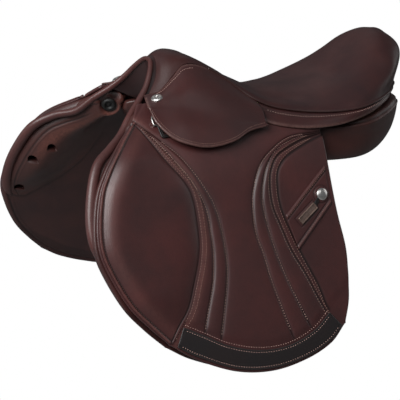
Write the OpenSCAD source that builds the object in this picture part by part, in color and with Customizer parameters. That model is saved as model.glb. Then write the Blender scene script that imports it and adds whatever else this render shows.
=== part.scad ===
// Close-contact english jumping saddle, 17.5 inch seat.
// Millimetres.  +X points to the cantle, -Y is the left side, +Z is up.
// The origin is the middle of the panels' bearing, between the two panels.

/* [Flap] */
// Thickness of the outer flap leather
flap_t = 4; // [3:0.5:5]
// Length of the flap below the fold, at its longest
flap_drop = 333; // [310:1:360]
// Distance the padded leaf stands off the flap
leaf_h = 11; // [6:1:14]
// Thickness of the wear patch at the bottom of the flap
patch_t = 1.5; // [1:0.1:2.5]

/* [Keeper] */
// Thickness of the keeper strap
keeper_t = 2.7; // [2:0.1:4]
// Diameter of the keeper stud cap
stud_d = 18.5; // [14:0.5:22]
// Length of the bare metal plate on the keeper
plate_l = 38; // [25:1:45]
// Width of the bare metal plate on the keeper
plate_w = 12; // [8:1:16]

/* [Sweat flap] */
// Thickness of the sweat flap leather
sweat_t = 3.5; // [2.5:0.5:4]
// Clear room between the flap and the sweat flap at the front edge
sweat_room = 8; // [7:0.5:10]
// Extra room between them where the billets hang
billet_room = 7; // [6:0.5:10]
// Width of a vent opening
vent_w = 8; // [6:0.5:10]

/* [Skirt] */
// Thickness of the skirt leather
skirt_t = 3.5; // [2.5:0.5:4.5]
// Height of the inner face of the skirt above the flap, over the stirrup bar
skirt_room = 12; // [11.5:0.5:16]
// The same height at the front corner, over the dee ring
corner_room = 7; // [6.5:0.5:9]
// Diameter of the domed nail
nail_d = 17; // [12:0.5:20]

/* [Seat] */
// Thickness of the seat cover leather
cover_t = 2.5; // [1.5:0.5:3.5]
// Width of a seat web
web_w = 28; // [20:1:40]
// Thickness of a seat web
web_t = 2; // [1.5:0.5:2.5]

/* [Tree] */
// Thickness of a tree rail
rail_t = 9; // [7:0.5:11]
// Width of a tree rail
rail_w = 30; // [24:1:34]
// Depth of the head arch along the horse
head_d = 20; // [16:1:26]

/* [Stirrup bar] */
// Length of the stirrup bar
bar_l = 92; // [80:1:100]
// Height of the bar's section down the flap
bar_w = 12; // [10:0.5:14]
// Thickness of the bar away from the flap
bar_t = 6.5; // [5.5:0.5:8]
// Length of the catch at the open end
catch_l = 24; // [18:1:30]
// Thickness of the catch
catch_t = 2.8; // [2:0.1:3.2]
// Diameter of the catch pin
pin_d = 4; // [3:0.5:5]

/* [Dee ring] */
// Diameter of the dee ring wire
wire_d = 3; // [2.6:0.2:3.4]
// Inside width of the dee ring
dee_w = 20; // [16:1:24]

/* [Billets] */
// Width of a billet
billet_w = 25; // [22:0.5:28]
// Thickness of a billet
billet_t = 3.5; // [2.5:0.1:3.6]
// Distance between billet centre lines
billet_pitch = 45; // [42:1:50]
// Diameter of a billet hole
hole_d = 6; // [5:0.5:7]
// Distance from one billet hole to the next
hole_pitch = 25; // [20:1:30]
// Height of the girth guard
guard_h = 60; // [50:1:70]

/* [Fit] */
// Gap between leathers that lie on each other
lay = 0.35; // [0.3:0.05:0.6]
// Clearance all round a billet inside the girth guard
loop_gap = 0.75; // [0.6:0.05:1]
// Clearance round a turning pin
pin_gap = 0.2; // [0.15:0.05:0.4]

/* [Hidden] */
$fn = 32;

brown = [0.30, 0.17, 0.15];
dark = [0.16, 0.10, 0.09];
black = [0.08, 0.08, 0.08];
steel = [0.78, 0.78, 0.80];
wood = [0.72, 0.55, 0.35];
foam_c = [0.90, 0.86, 0.60];
web_c = [0.85, 0.82, 0.74];

// ---------- the side of the saddle: one profile for every side leather ----------
// Steepness of the side below level, at distance v down from the top edge
slope = [[0, 33], [60, 42], [120, 55], [180, 67.5], [240, 67], [300, 66],
         [360, 66], [420, 68], [480, 72], [560, 74]];
step = 10;
prof = [for (i = 0, y = 40, z = 122; i <= 50;
        y = y + step * cos(lookup(step * (i + 0.5), slope)),
        z = z - step * sin(lookup(step * (i + 0.5), slope)), i = i + 1) [y, z]];
prof_y = [for (i = [0 : 50]) [step * i, prof[i][0]]];
prof_z = [for (i = [0 : 50]) [step * i, prof[i][1]]];
function flare(x) = 0.00045 * pow(min(x + 200, 0), 2);
// Point at x, v down the side, n out from the outer face of the flap
function on(x, v, n) = let (a = lookup(v, slope))
  [x, lookup(v, prof_y) + flare(x) + n * sin(a), lookup(v, prof_z) + n * cos(a)];

function smooth(t) = let (c = min(max(t, 0), 1)) c * c * (3 - 2 * c);
function dip(x, v) = smooth((x + 210) / 60) * smooth((v - 90) / 60);
flap_in = -flap_t;
sweat_out = flap_in - sweat_room;
function sweat_n(x, v) = sweat_out - billet_room * dip(x, v);

// Smooth curve through the points p, t from 0 to 1
function cr(p, t) = let (m = len(p) - 1, s = min(t, 0.99999) * m, i = floor(s), f = s - i,
  b = p[i], c = p[i + 1], a = i > 0 ? p[i - 1] : 2 * b - c,
  d = i + 2 <= m ? p[i + 2] : 2 * c - b)
  t >= 1 ? p[m] : 0.5 * (2 * b + (c - a) * f + (2 * a - 5 * b + 4 * c - d) * f * f
  + (3 * b - a - 3 * c + d) * f * f * f);
// Patch spanned by four border curves: top, bottom, front and rear
function patch(t, b, f, r, u, w) = (1 - w) * cr(t, u) + w * cr(b, u)
  + (1 - u) * cr(f, w) + u * cr(r, w)
  - (1 - u) * ((1 - w) * t[0] + w * b[0])
  - u * ((1 - w) * t[len(t) - 1] + w * b[len(b) - 1]);
function mix(a, b, t) = a + (b - a) * t;

// Closed solid between an inner and an outer sheet of points
module slab(inner, outer, nu, nw) {
  m = (nu + 1) * (nw + 1);
  pts = concat([for (i = [0 : nu]) for (j = [0 : nw]) inner(i / nu, j / nw)],
               [for (i = [0 : nu]) for (j = [0 : nw]) outer(i / nu, j / nw)]);
  function id(s, i, j) = s * m + i * (nw + 1) + j;
  polyhedron(pts, concat(
    [for (i = [0 : nu - 1]) for (j = [0 : nw - 1]) for (k = [0, 1]) k == 0
      ? [id(1, i, j), id(1, i, j + 1), id(1, i + 1, j + 1)]
      : [id(1, i, j), id(1, i + 1, j + 1), id(1, i + 1, j)]],
    [for (i = [0 : nu - 1]) for (j = [0 : nw - 1]) for (k = [0, 1]) k == 0
      ? [id(0, i, j), id(0, i + 1, j + 1), id(0, i, j + 1)]
      : [id(0, i, j), id(0, i + 1, j), id(0, i + 1, j + 1)]],
    [for (i = [0 : nu - 1]) for (e = [0, nw]) for (k = [0, 1]) let (
        a = id(0, i, e), b = id(0, i + 1, e), c = id(1, i + 1, e), d = id(1, i, e))
      e == 0 ? (k == 0 ? [a, d, c] : [a, c, b]) : (k == 0 ? [a, c, d] : [a, b, c])],
    [for (j = [0 : nw - 1]) for (e = [0, nu]) for (k = [0, 1]) let (
        a = id(0, e, j), b = id(0, e, j + 1), c = id(1, e, j + 1), d = id(1, e, j))
      e == 0 ? (k == 0 ? [a, c, d] : [a, b, c]) : (k == 0 ? [a, d, c] : [a, c, b])]));
}

// Solid skin through rings of points, closed at both ends
module skin(rings) {
  k = len(rings[0]);
  m = len(rings);
  area = [for (i = [2 : k - 1]) 1]
    * [for (i = [2 : k - 1]) cross(rings[0][i - 1] - rings[0][0], rings[0][i] - rings[0][0])];
  back = area * (rings[1][0] - rings[0][0]) > 0;
  polyhedron([for (r = rings) for (p = back ? [for (i = [k - 1 : -1 : 0]) r[i]] : r) p], concat(
    [for (i = [0 : m - 2]) for (j = [0 : k - 1]) for (h = [0, 1]) let (
        a = i * k + j, b = i * k + (j + 1) % k, c = b + k, d = a + k)
      h == 0 ? [a, b, c] : [a, c, d]],
    [[for (j = [k - 1 : -1 : 0]) j]], [[for (j = [0 : k - 1]) (m - 1) * k + j]]));
}

module left() mirror([0, 1, 0]) children();
// Places a flat thing on the side: local x along the saddle, y down it, z out of it
module lay_on(x, v, n = 0) translate(on(x, v, n)) rotate([-lookup(v, slope), 0, 0])
  children();

// ---------- outlines, as [x, v] on the side ----------
fold_v = 127;
low_v = fold_v + flap_drop;
flap_front = [[-333, fold_v], [-353, 156], [-367, 197], [-371, 236], [-362, 273],
              [-341, 322], [-315, 358], [-289, 388]];
flap_low = [[-289, 388], [-250, low_v - 42], [-189, low_v - 12], [-127, low_v],
            [-67, low_v - 5], [-20, low_v - 20], [10, 416]];
flap_rear = [[36, fold_v], [33, 178], [33, 246], [36, 300], [32, 338], [24, 382], [10, 416]];
flap_fold = [[-333, fold_v], [36, fold_v]];
top_v = fold_v - lay;
top_edge = [[-252, 42], [-225, 45], [-180, 60], [-100, 70], [-30, 90], [16, 106], [36, 114]];
top_front = [[-252, 42], [-271, 61], [-289, 79], [-308, 100], [-333, top_v]];
top_rear = [[36, 114], [36, top_v]];
top_low = [[-333, top_v], [36, top_v]];

sweat_top = [[-262, 52], [-215, 56], [-150, 62], [-60, 72], [10, 95], [36, 112]];
sweat_front = [[-262, 52], [-292, 79], [-335, 125], [-357, 157], [-371, 200], [-375, 238],
               [-366, 275], [-345, 324], [-318, 361], [-291, 391]];
sweat_low = [[-291, 391], [-252, 418], [-192, 444], [-130, 452], [-70, 448], [-24, 434], [6, 412]];
sweat_rear = [[36, 112], [34, 178], [33, 246], [34, 300], [30, 338], [22, 380], [6, 412]];

function flap_at(u, w, n) = let (q = patch(flap_fold, flap_low, flap_front, flap_rear, u, w))
  on(q[0], q[1], n);
module flap() color(brown)
  slab(function (u, w) flap_at(u, w, flap_in), function (u, w) flap_at(u, w, 0), 14, 11);
module flap_left() left() flap();
module flap_right() flap();

function top_at(u, w, n) = let (q = patch(top_edge, top_low, top_front, top_rear, u, w))
  on(q[0], q[1], n);
module flap_top() color(brown)
  slab(function (u, w) top_at(u, w, flap_in), function (u, w) top_at(u, w, 0), 16, 4);
module flap_top_left() left() flap_top();
module flap_top_right() flap_top();

leaf_top = [[-331, fold_v + 5], [-236, fold_v + 5]];
leaf_front = [[-331, fold_v + 5], [-348, 158], [-361, 197], [-365, 236], [-357, 271],
              [-336, 319], [-311, 355], [-293, 376]];
leaf_rear = [[-236, fold_v + 5], [-211, 176], [-208, 238], [-217, 274], [-232, 309],
             [-249, 342], [-266, 362], [-281, 376]];
leaf_low = [[-293, 376], [-281, 376]];
function leaf_at(u, w, n) = let (q = patch(leaf_top, leaf_low, leaf_front, leaf_rear, u, w))
  on(q[0], q[1], lay + n * (1.5 + leaf_h * pow(sin(180 * u), 0.6) * smooth(6 * w)
  * smooth(4 * (1 - w))));
module knee_leaf() color(dark)
  slab(function (u, w) leaf_at(u, w, 0), function (u, w) leaf_at(u, w, 1), 8, 12);
module knee_leaf_left() left() knee_leaf();
module knee_leaf_right() knee_leaf();

patch_top = [[-262, 368], [-231, low_v - 72], [-195, low_v - 50], [-146, low_v - 33],
             [-94, low_v - 28], [-47, low_v - 43], [-15, low_v - 64]];
patch_low = [[-277, 392], [-248, low_v - 46], [-189, low_v - 16], [-127, low_v - 4],
             [-67, low_v - 9], [-22, low_v - 24], [1, low_v - 40]];
function wear_at(u, w, n) = let (q = mix(cr(patch_top, u), cr(patch_low, u), w))
  on(q[0], q[1], lay + n);
module wear_patch() color(black)
  slab(function (u, w) wear_at(u, w, 0), function (u, w) wear_at(u, w, patch_t), 14, 2);
module wear_patch_left() left() wear_patch();
module wear_patch_right() wear_patch();

// ---------- keeper on the rear of the flap ----------
function keep_at(u, w, n) = let (q = mix(mix([-57, 238], [26, 174], u),
  mix([-46, 292], [25, 233], u), w)) on(q[0], q[1], lay + n);
module keeper() color(brown)
  slab(function (u, w) keep_at(u, w, 0), function (u, w) keep_at(u, w, keeper_t), 6, 4);
module keeper_left() left() keeper();
module keeper_right() keeper();

module keeper_plate() color(steel) lay_on(-20, 241, 2 * lay + keeper_t + 0.3)
  rotate(-32) linear_extrude(1.2) square([plate_l, plate_w], center = true);
module keeper_plate_left() left() keeper_plate();
module keeper_plate_right() keeper_plate();

module keeper_stud() color(steel) lay_on(11, 216, 2 * lay + keeper_t + 0.2)
  rotate_extrude() polygon([[0, 0], [stud_d / 2, 0], [stud_d / 2, 1.4],
    [stud_d / 2 - 1.6, 2.4], [stud_d / 4, 3.4], [0, 3.7]]);
module keeper_stud_left() left() keeper_stud();
module keeper_stud_right() keeper_stud();

// ---------- sweat flap, blocks and front panel ----------
function sweat_at(u, w, n) = let (q = patch(sweat_top, sweat_low, sweat_front, sweat_rear, u, w))
  on(q[0], q[1], sweat_n(q[0], q[1]) - n);
vents = [[-306, 160, 25], [-334, 181, 35], [-352, 236, 60]];
module vent_cuts() for (p = vents) lay_on(p[0], p[1], sweat_out - 22)
  rotate(p[2]) for (k = [-1, 1]) translate([0, k * vent_w / 4, 0]) cylinder(d = vent_w, h = 40,
    center = true, $fn = 14);
module sweat_flap() color(dark) difference() {
  slab(function (u, w) sweat_at(u, w, sweat_t), function (u, w) sweat_at(u, w, 0), 12, 11);
  vent_cuts();
}
module sweat_flap_left() left() sweat_flap();
module sweat_flap_right() sweat_flap();

function dome(u, w) = pow(max(sin(180 * u) * sin(180 * w), 0), 0.45);
function knee_at(u, w, n) = let (q = mix(cr([[-322, 150], [-342, 200], [-343, 245], [-328, 290]], w),
  cr([[-296, 150], [-312, 200], [-312, 245], [-300, 290]], w), u),
  room = sweat_room - 2 * lay - 0.5)
  on(q[0], q[1], sweat_out + lay + n * (2 + (room - 2) * dome(u, w)));
module knee_block() color(dark)
  slab(function (u, w) knee_at(u, w, 0), function (u, w) knee_at(u, w, 1), 4, 6);
module knee_block_left() left() knee_block();
module knee_block_right() knee_block();

function thigh_at(u, w, n) = let (q = mix(cr([[2, 236], [3, 280], [0, 330], [-8, 376]], w),
  cr([[24, 236], [26, 280], [20, 330], [6, 376]], w), u),
  room = sweat_room + billet_room - 2 * lay - 0.5)
  on(q[0], q[1], sweat_n(q[0], q[1]) + lay + n * (3 + (room - 3) * dome(u, w)));
module thigh_block() color(dark)
  slab(function (u, w) thigh_at(u, w, 0), function (u, w) thigh_at(u, w, 1), 4, 6);
module thigh_block_left() left() thigh_block();
module thigh_block_right() thigh_block();

pad_front = [[-252, 46], [-287, 75], [-324, 106], [-353, 141], [-371, 180], [-378, 214],
             [-373, 250], [-350, 288]];
pad_rear = [[-214, 50], [-216, 80], [-228, 108], [-246, 138], [-268, 170], [-292, 205],
            [-318, 240], [-338, 276]];
function pad_at(u, w, n) = let (q = mix(cr(pad_front, w), cr(pad_rear, w), u))
  on(q[0], q[1], sweat_n(q[0], q[1]) - sweat_t - lay - 0.6 - n * (3 + 17 * pow(max(sin(180 * u), 0), 0.6)
  * smooth(5 * (1 - w)) * smooth(0.5 + 3 * w)));
module front_panel() color(dark) difference() {
  slab(function (u, w) pad_at(u, w, 1), function (u, w) pad_at(u, w, 0), 6, 10);
  vent_cuts();
  lay_on(stud_x, stud_v, stud_n - 30) cylinder(d = stud_hole, h = 30 + lay);
}
module front_panel_left() left() front_panel();
module front_panel_right() front_panel();

stud_x = -231;
stud_v = 58;
stud_n = -24;
stud_hole = 21;
module point_stud() color(black) lay_on(stud_x, stud_v, stud_n)
  rotate([180, 0, 0]) rotate_extrude() polygon([[0, 0], [stud_hole / 2 - pin_gap, 0],
    [stud_hole / 2 - pin_gap, 3.5], [6.5, 4.6], [5.8, 3.6], [0, 3.6]]);
module point_studs() {
  left() point_stud();
  point_stud();
}

// ---------- billets and girth guard ----------
billet_x = -85;
hang = 1;
billet_top = 88;
billet_end = 430;
function billet_out(x, v) = sweat_out + hang + billet_t - 0.7 * billet_room * dip(x, v);
function billet_at(xc, u, w, n) = let (x = xc + (u - 0.5) * billet_w,
  v = mix(billet_top, billet_end, w)) on(x, v, billet_out(xc, v) - n);
module billet(xc) color(brown) difference() {
  slab(function (u, w) billet_at(xc, u, w, billet_t), function (u, w) billet_at(xc, u, w, 0), 1, 12);
  for (k = [0 : 4]) let (v = 310 + hole_pitch * k)
    lay_on(xc, v, billet_out(xc, v)) cylinder(d = hole_d, h = 20, center = true, $fn = 14);
}
module front_billet_left() left() billet(billet_x - billet_pitch);
module front_billet_right() billet(billet_x - billet_pitch);
module middle_billet_left() left() billet(billet_x);
module middle_billet_right() billet(billet_x);
module rear_billet_left() left() billet(billet_x + billet_pitch);
module rear_billet_right() billet(billet_x + billet_pitch);

web_half = billet_pitch + billet_w / 2 + 8;
function web_at(u, w, n) = on(billet_x + (2 * u - 1) * web_half, mix(76, 116, w),
  flap_in - lay - n);
web_band = sweat_room - 2 * lay - hang - billet_t;
module billet_web() color(web_c)
  slab(function (u, w) web_at(u, w, web_band), function (u, w) web_at(u, w, 0), 4, 4);
module billet_web_left() left() billet_web();
module billet_web_right() billet_web();

guard_top = 198;
function guard_at(x0, x1, a, b, u, w, n) = let (v = guard_top + w * guard_h)
  on(mix(x0, x1, u), v, billet_out(billet_x, v) + mix(a, b, n));
module guard_wall(x0, x1, a, b) slab(function (u, w) guard_at(x0, x1, a, b, u, w, 0),
  function (u, w) guard_at(x0, x1, a, b, u, w, 1), 1, 4);
guard_back = -billet_t - loop_gap;
module girth_guard() color(dark) {
  half = billet_pitch * 1.5;
  slot = billet_w / 2 + 2;
  guard_wall(billet_x - half, billet_x + half, loop_gap, loop_gap + 2.4);
  guard_wall(billet_x - half, billet_x + half, guard_back - 1.2, guard_back);
  for (k = [-1.5, -0.5, 0.5, 1.5]) guard_wall(
    billet_x + k * billet_pitch - (k == -1.5 ? 0 : billet_pitch / 2 - slot),
    billet_x + k * billet_pitch + (k == 1.5 ? 0 : billet_pitch / 2 - slot),
    guard_back - 0.2, loop_gap + 0.2);
}
module girth_guard_left() left() girth_guard();
module girth_guard_right() girth_guard();

// ---------- seat: ribs from the middle line down to the seam ----------
ribs = [
  [[-190, 0, 163], [-191, 12, 157], [-195, 23, 146], [-204, 34, 131], [-222, 46, 111]],
  [[-184, 0, 166], [-185, 13, 162], [-188, 27, 152], [-193, 39, 138], [-201, 50, 121]],
  [[-174, 0, 168], [-174, 14, 166], [-175, 27, 160], [-176, 38, 151], [-178, 46, 140]],
  [[-160, 0, 167], [-160, 13, 166], [-159, 25, 163], [-158, 35, 159], [-157, 41, 153]],
  [[-140, 0, 159.5], [-138, 13, 159], [-135, 26, 157], [-132, 36, 154], [-130, 43, 149]],
  [[-112, 0, 143], [-107, 16, 141], [-101, 32, 137], [-97, 44, 132], [-94, 52, 126]],
  [[-85, 0, 127], [-82, 20, 125], [-77, 38, 120], [-73, 53, 114], [-71, 62, 107]],
  [[-55, 0, 111], [-54, 24, 109], [-52, 46, 104], [-51, 65, 99], [-51, 76, 92]],
  [[-20, 0, 95], [-20, 29, 93], [-20, 54, 88], [-21, 76, 84], [-22, 86, 79]],
  [[20, 0, 90], [21, 32, 87], [22, 58, 80.5], [21, 83, 76], [20, 97, 70]],
  [[60, 0, 91], [62, 36, 89], [64, 68, 84], [66, 98, 75], [66, 113, 67]],
  [[92, 0, 96], [97, 40, 96], [103, 75, 93], [110, 108, 81], [112, 121, 68.5]],
  [[112, 0, 101], [122, 37, 104], [136, 74, 105], [150, 104, 92], [152, 113, 73.5]],
  [[124, 0, 107], [140, 33, 116], [164, 68, 121], [185, 92, 104], [188, 94, 78]],
  [[129, 0, 110], [157, 27, 128], [191, 55, 142], [217, 77, 118], [215, 72, 80]],
  [[131, 0, 111.5], [168, 14, 136], [209, 29, 157.5], [250, 44, 130], [237, 44, 80]],
  [[132, 0, 112], [171, 0, 138], [217, 0, 163.5], [259, 0, 135], [249, 0, 80]]];
function seat_rib(i, u) = cr([for (r = ribs) r[i]], u);
function seat_at(u, w) = cr([for (i = [0 : 4]) seat_rib(i, u)], w);
function flat(p, w, u) = w <= 0 || u >= 1 ? [p[0], 0, p[2]] : p;
function seat_in(u, w, t) = let (e = 0.004,
  a = seat_at(min(u + e, 1), w) - seat_at(max(u - e, 0), w),
  b = seat_at(u, min(w + e, 1)) - seat_at(u, max(w - e, 0)),
  c = cross(a, b)) flat(seat_at(u, w) - t * c / norm(c), w, u);
web_z = [[-200, 150], [-160, 140], [-112, 121], [-85, 106], [-55, 94], [-20, 84], [20, 79.5],
         [60, 79], [95, 81], [132, 87], [198, 86.5]];
function foam_low(u, w) = let (s = seat_at(u, 0), e = seat_in(u, 1, cover_t + lay))
  flat(mix([s[0], 0, lookup(s[0], web_z)], e, 0.975 * w), w, u);

// Both halves of the seat as one solid between an upper and a lower sheet
module seat_solid(upper, lower, nu, nw) {
  m = (nu + 1) * (nw + 1);
  function my(p) = [p[0], -p[1], p[2]];
  up = [for (i = [0 : nu]) for (j = [0 : nw]) upper(i / nu, j / nw)];
  lo = [for (i = [0 : nu]) for (j = [0 : nw]) lower(i / nu, j / nw)];
  function id(g, i, j) = g * m + i * (nw + 1) + j;
  function turn(f, s) = s ? [f[2], f[1], f[0]] : f;
  // Sheets: 0 upper, 1 lower on the right; 2 upper, 3 lower on the left
  // The last quad at the cantle is cut the other way, so that no triangle lies in the middle plane
  function q(a, b, c, d, s, f = false) = f ? [turn([a, b, d], s), turn([b, c, d], s)]
    : [turn([a, b, c], s), turn([a, c, d], s)];
  faces = [for (h = [0, 1]) for (f = concat(
    [for (i = [0 : nu - 1]) for (j = [0 : nw - 1]) for (t = q(id(2 * h, i, j), id(2 * h, i, j + 1),
      id(2 * h, i + 1, j + 1), id(2 * h, i + 1, j), h == 1, i == nu - 1 && j == 0)) t],
    [for (i = [0 : nu - 1]) for (j = [0 : nw - 1]) for (t = q(id(2 * h + 1, i, j),
      id(2 * h + 1, i + 1, j), id(2 * h + 1, i + 1, j + 1), id(2 * h + 1, i, j + 1), h == 1,
      i == nu - 1 && j == 0)) t],
    [for (i = [0 : nu - 1]) for (t = q(id(2 * h, i, nw), id(2 * h + 1, i, nw),
      id(2 * h + 1, i + 1, nw), id(2 * h, i + 1, nw), h == 1)) t],
    [for (j = [0 : nw - 1]) for (t = q(id(2 * h, 0, j), id(2 * h + 1, 0, j),
      id(2 * h + 1, 0, j + 1), id(2 * h, 0, j + 1), h == 1)) t])) f];
  polyhedron(concat(up, lo, [for (p = up) my(p)], [for (p = lo) my(p)]), faces);
}
module seat_cover() color(brown) seat_solid(function (u, w) flat(seat_at(u, w), w, u),
  function (u, w) seat_in(u, w, cover_t), 20, 6);
module seat_foam() color(foam_c) seat_solid(
  function (u, w) seat_in(u, w, cover_t + lay),
  function (u, w) foam_low(u, w), 20, 6);

// ---------- skirts and the strip round the back ----------
seam = [for (r = ribs) r[4]];
function skirt_n(x) = mix(corner_room, skirt_room, smooth((x + 232) / 40));
skirt_head = [[-228, 49, 113.5], [-204, 51, 118], [-180, 48, 136], [-159, 43, 150],
              [-130, 45, 146], [-93, 54, 123.5], [-71, 64.5, 104.5], [-52, 78, 89.5]];
hinge_a = [-237, 41];
hinge_b = [-62, 96];
function skirt_top_at(u, w, n) = let (a = cr(skirt_head, u), q = mix(hinge_a, hinge_b, u),
  b = on(q[0], q[1] - lay, skirt_n(q[0]) + n))
  mix(a + [0, 0.5 * n - 2.6, 0.85 * n - 4.5], b, w) + [0, 4, 4] * 4 * w * (1 - w);
module skirt_top() color(brown) slab(function (u, w) skirt_top_at(u, w, 0),
  function (u, w) skirt_top_at(u, w, skirt_t), 12, 5);
module skirt_top_left() left() skirt_top();
module skirt_top_right() skirt_top();

skirt_low = [[-237, 49], [-234, 70], [-217, 98], [-190, 114], [-160, 120], [-122, 116],
             [-92, 105], [-60, 101]];
function skirt_at(u, w, n) = let (q = mix(mix(hinge_a, hinge_b, u), cr(skirt_low, u), w))
  on(q[0], q[1], skirt_n(q[0]) + n);
module skirt() color(brown)
  slab(function (u, w) skirt_at(u, w, 0), function (u, w) skirt_at(u, w, skirt_t), 14, 4);
module skirt_left() left() skirt();
module skirt_right() skirt();

nail_at = [-219, 28, corner_room + skirt_t + 1.9];
module nail() color(steel) lay_on(nail_at[0], nail_at[1], nail_at[2]) rotate_extrude()
  polygon([[0, 0], [nail_d / 2, 0], [nail_d / 2, 1], [nail_d / 2 - 2, 2.6],
    [nail_d / 4, 3.9], [0, 4.3]]);
module skirt_nails() {
  left() nail();
  nail();
}

strip_low = [[-54, 113, 66], [-32, 119, 59], [9, 126, 51], [54, 131, 49.5], [91, 131, 52.5],
             [137, 122, 59.5], [178, 104, 69], [207, 81, 73], [229, 55, 72], [244, 28, 71],
             [250, 0, 71]];
strip_head = [[-47, 79, 86.5], [-22, 88, 76], [20, 99, 67], [66, 114, 64], [112, 122, 65.5],
              [152, 114, 70.5], [188, 95, 75], [215, 73, 77], [237, 45, 77], [249, 0, 77]];
strip_t = 2.4;
function strip_at(u, w, n) = let (h = u < 0.5 ? 2 * u : 2 - 2 * u,
  a = cr(strip_head, h), b = cr(strip_low, h), p = mix(a, b, w) + [0, 3, 4] * 4 * w * (1 - w) * smooth(2 - 3 * h),
  c = [mix(60, 130, smooth(h)), 0, p[2]], e = (c - p) / norm(c - p) - [0, 0, 0.7 * smooth(2 - 2 * h)],
  r = p + (strip_t - n) * e / norm(e))
  [r[0], u < 0.5 ? r[1] : -r[1], r[2]];
module rear_strip() color(brown) slab(function (u, w) strip_at(u, w, 0),
  function (u, w) strip_at(u, w, strip_t), 28, 2);

// ---------- front roll of the pommel ----------
roll_mid = [[-282, 78, 72], [-262, 62, 86], [-238, 47, 102], [-221, 37, 119], [-208, 25, 137],
            [-200, 12, 149], [-198, 0, 153]];
roll_path = concat(roll_mid, [for (i = [5 : -1 : 0]) [roll_mid[i][0], -roll_mid[i][1], roll_mid[i][2]]]);
roll_n = 24;
function roll_pt(i) = cr(roll_path, i / roll_n);
module pommel_facing() color(dark) skin([for (i = [0 : roll_n]) let (
  p = roll_pt(i), t = roll_pt(min(i + 1, roll_n)) - roll_pt(max(i - 1, 0)), d = t / norm(t),
  s = cross(d, [-1, 0, 0.4]), a = s / norm(s), b = cross(d, a))
  [for (k = [0 : 7]) p + 4.4 * cos(45 * k) * a + 5.5 * sin(45 * k) * b]]);

// ---------- tree ----------
rail_path = [[-184, 48, 97], [-150, 48, 92], [-100, 48, 81], [-40, 50, 69], [20, 56, 63],
             [80, 65, 62], [125, 65, 65], [160, 54, 69], [188, 30, 71], [198, 0, 71]];
rail_run = concat(rail_path, [for (i = [8 : -1 : 0]) [rail_path[i][0], -rail_path[i][1], rail_path[i][2]]]);
rail_n = 30;
function rail_pt(i) = cr(rail_run, i / rail_n);
function rail_side(p, d) = let (s = cross(d, [0, 0.0067 * p[1], 1])) s / norm(s);
rail_edge = [[-1, -0.7], [-0.8, -1], [0.8, -1], [1, -0.7], [1, 0.7], [0.8, 1], [-0.8, 1], [-1, 0.7]];
module rails() skin([for (i = [0 : rail_n]) let (
  p = rail_pt(i), t = rail_pt(min(i + 1, rail_n)) - rail_pt(max(i - 1, 0)), d = t / norm(t),
  a = rail_side(p, d), b = cross(a, d))
  [for (c = rail_edge) p + c[0] * rail_w / 2 * a + c[1] * rail_t / 2 * b]]);
head_x = -176;
module head_arch() translate([head_x, 0, 0]) rotate([90, 0, 90])
  linear_extrude(head_d, center = true) difference() {
    polygon([[-58, 86], [-44, 112], [-28, 132], [-10, 141], [10, 141], [28, 132], [44, 112],
      [58, 86], [40, 84], [30, 104], [16, 120], [0, 125], [-16, 120], [-30, 104], [-40, 84]]);
  }
module tree() color(wood) {
  rails();
  head_arch();
}
module head_plate() color(steel) translate([head_x, 0, 0]) rotate([90, 0, 90])
  linear_extrude(head_d - 4, center = true)
    polygon([[-29.2, 104.6], [-15.6, 119.6], [0, 124.5], [15.6, 119.6], [29.2, 104.6],
      [26, 104.6], [13.8, 116.5], [0, 121], [-13.8, 116.5], [-26, 104.6]]);

// A steel strip along the top of each rail
spring_w = 18;
spring_t = 1.2;
spring_from = 3;
spring_to = 11;
module spring() color(steel) skin([for (i = [spring_from : spring_to]) let (
  p = rail_pt(i), t = rail_pt(i + 1) - rail_pt(i - 1), d = t / norm(t),
  a = rail_side(p, d), b = cross(a, d), h = rail_t / 2 + lay)
  [for (c = [[-1, h], [1, h], [1, h + spring_t], [-1, h + spring_t]])
    p + c[0] * spring_w / 2 * a + c[1] * b]]);
module spring_left() left() spring();
module spring_right() spring();

web_low = 7;
// Two webs run from the head to the cantle and two cross them
module seat_webbing() color(web_c) {
  for (k = [-1, 1]) skin([for (i = [0 : 13]) let (x = mix(head_x + head_d / 2 + lay, 190, i / 13),
    y = k * (web_w / 2 + mix(1.5, 12, i / 13)), z = lookup(x, web_z) - web_low)
    [[x, y - web_w / 2, z - web_t], [x, y - web_w / 2, z], [x, y + web_w / 2, z],
     [x, y + web_w / 2, z - web_t]]]);
  for (c = [[-20, 33], [60, 46]])
    translate([c[0], 0, lookup(c[0], web_z) - web_low - web_t])
    cube([web_w, 2 * c[1], web_t], center = true);
}

// ---------- main panels ----------
panel_ribs = [
  [-214, [[42, 80], [53, 81], [63, 74], [60, 65], [46, 67]]],
  [-200, [[34, 83], [60, 80], [77, 67], [74, 48], [46, 58]]],
  [-170, [[32, 79], [66, 76], [89, 60], [88, 32], [46, 50]]],
  [-120, [[32, 69], [68, 66], [96, 46], [100, 12], [44, 38]]],
  [-50, [[33, 57], [74, 54], [101, 36], [106, 0], [43, 28]]],
  [20, [[34, 52], [80, 51], [104, 33], [109, -8], [41, 20]]],
  [70, [[34, 51], [94, 44], [112, 22], [110, -15], [40, 15]]],
  [125, [[34, 53], [106, 48], [119, 20], [106, -18], [39, 13]]],
  [165, [[31, 58], [97, 53], [109, 24], [95, -12], [37, 14]]],
  [198, [[26, 61], [82, 60], [92, 32], [80, 4], [33, 20]]],
  [220, [[20, 62], [62, 61], [72, 42], [62, 22], [27, 30]]],
  [231, [[24, 54], [46, 54], [52, 44], [46, 34], [28, 38]]]];
function ring(p, k) = let (m = len(p), s = k * m / 12, i = floor(s), f = s - i,
  a = p[(i + m - 1) % m], b = p[i % m], c = p[(i + 1) % m], d = p[(i + 2) % m])
  0.5 * (2 * b + (c - a) * f + (2 * a - 5 * b + 4 * c - d) * f * f
  + (3 * b - a - 3 * c + d) * f * f * f);
panel_n = 16;
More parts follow.
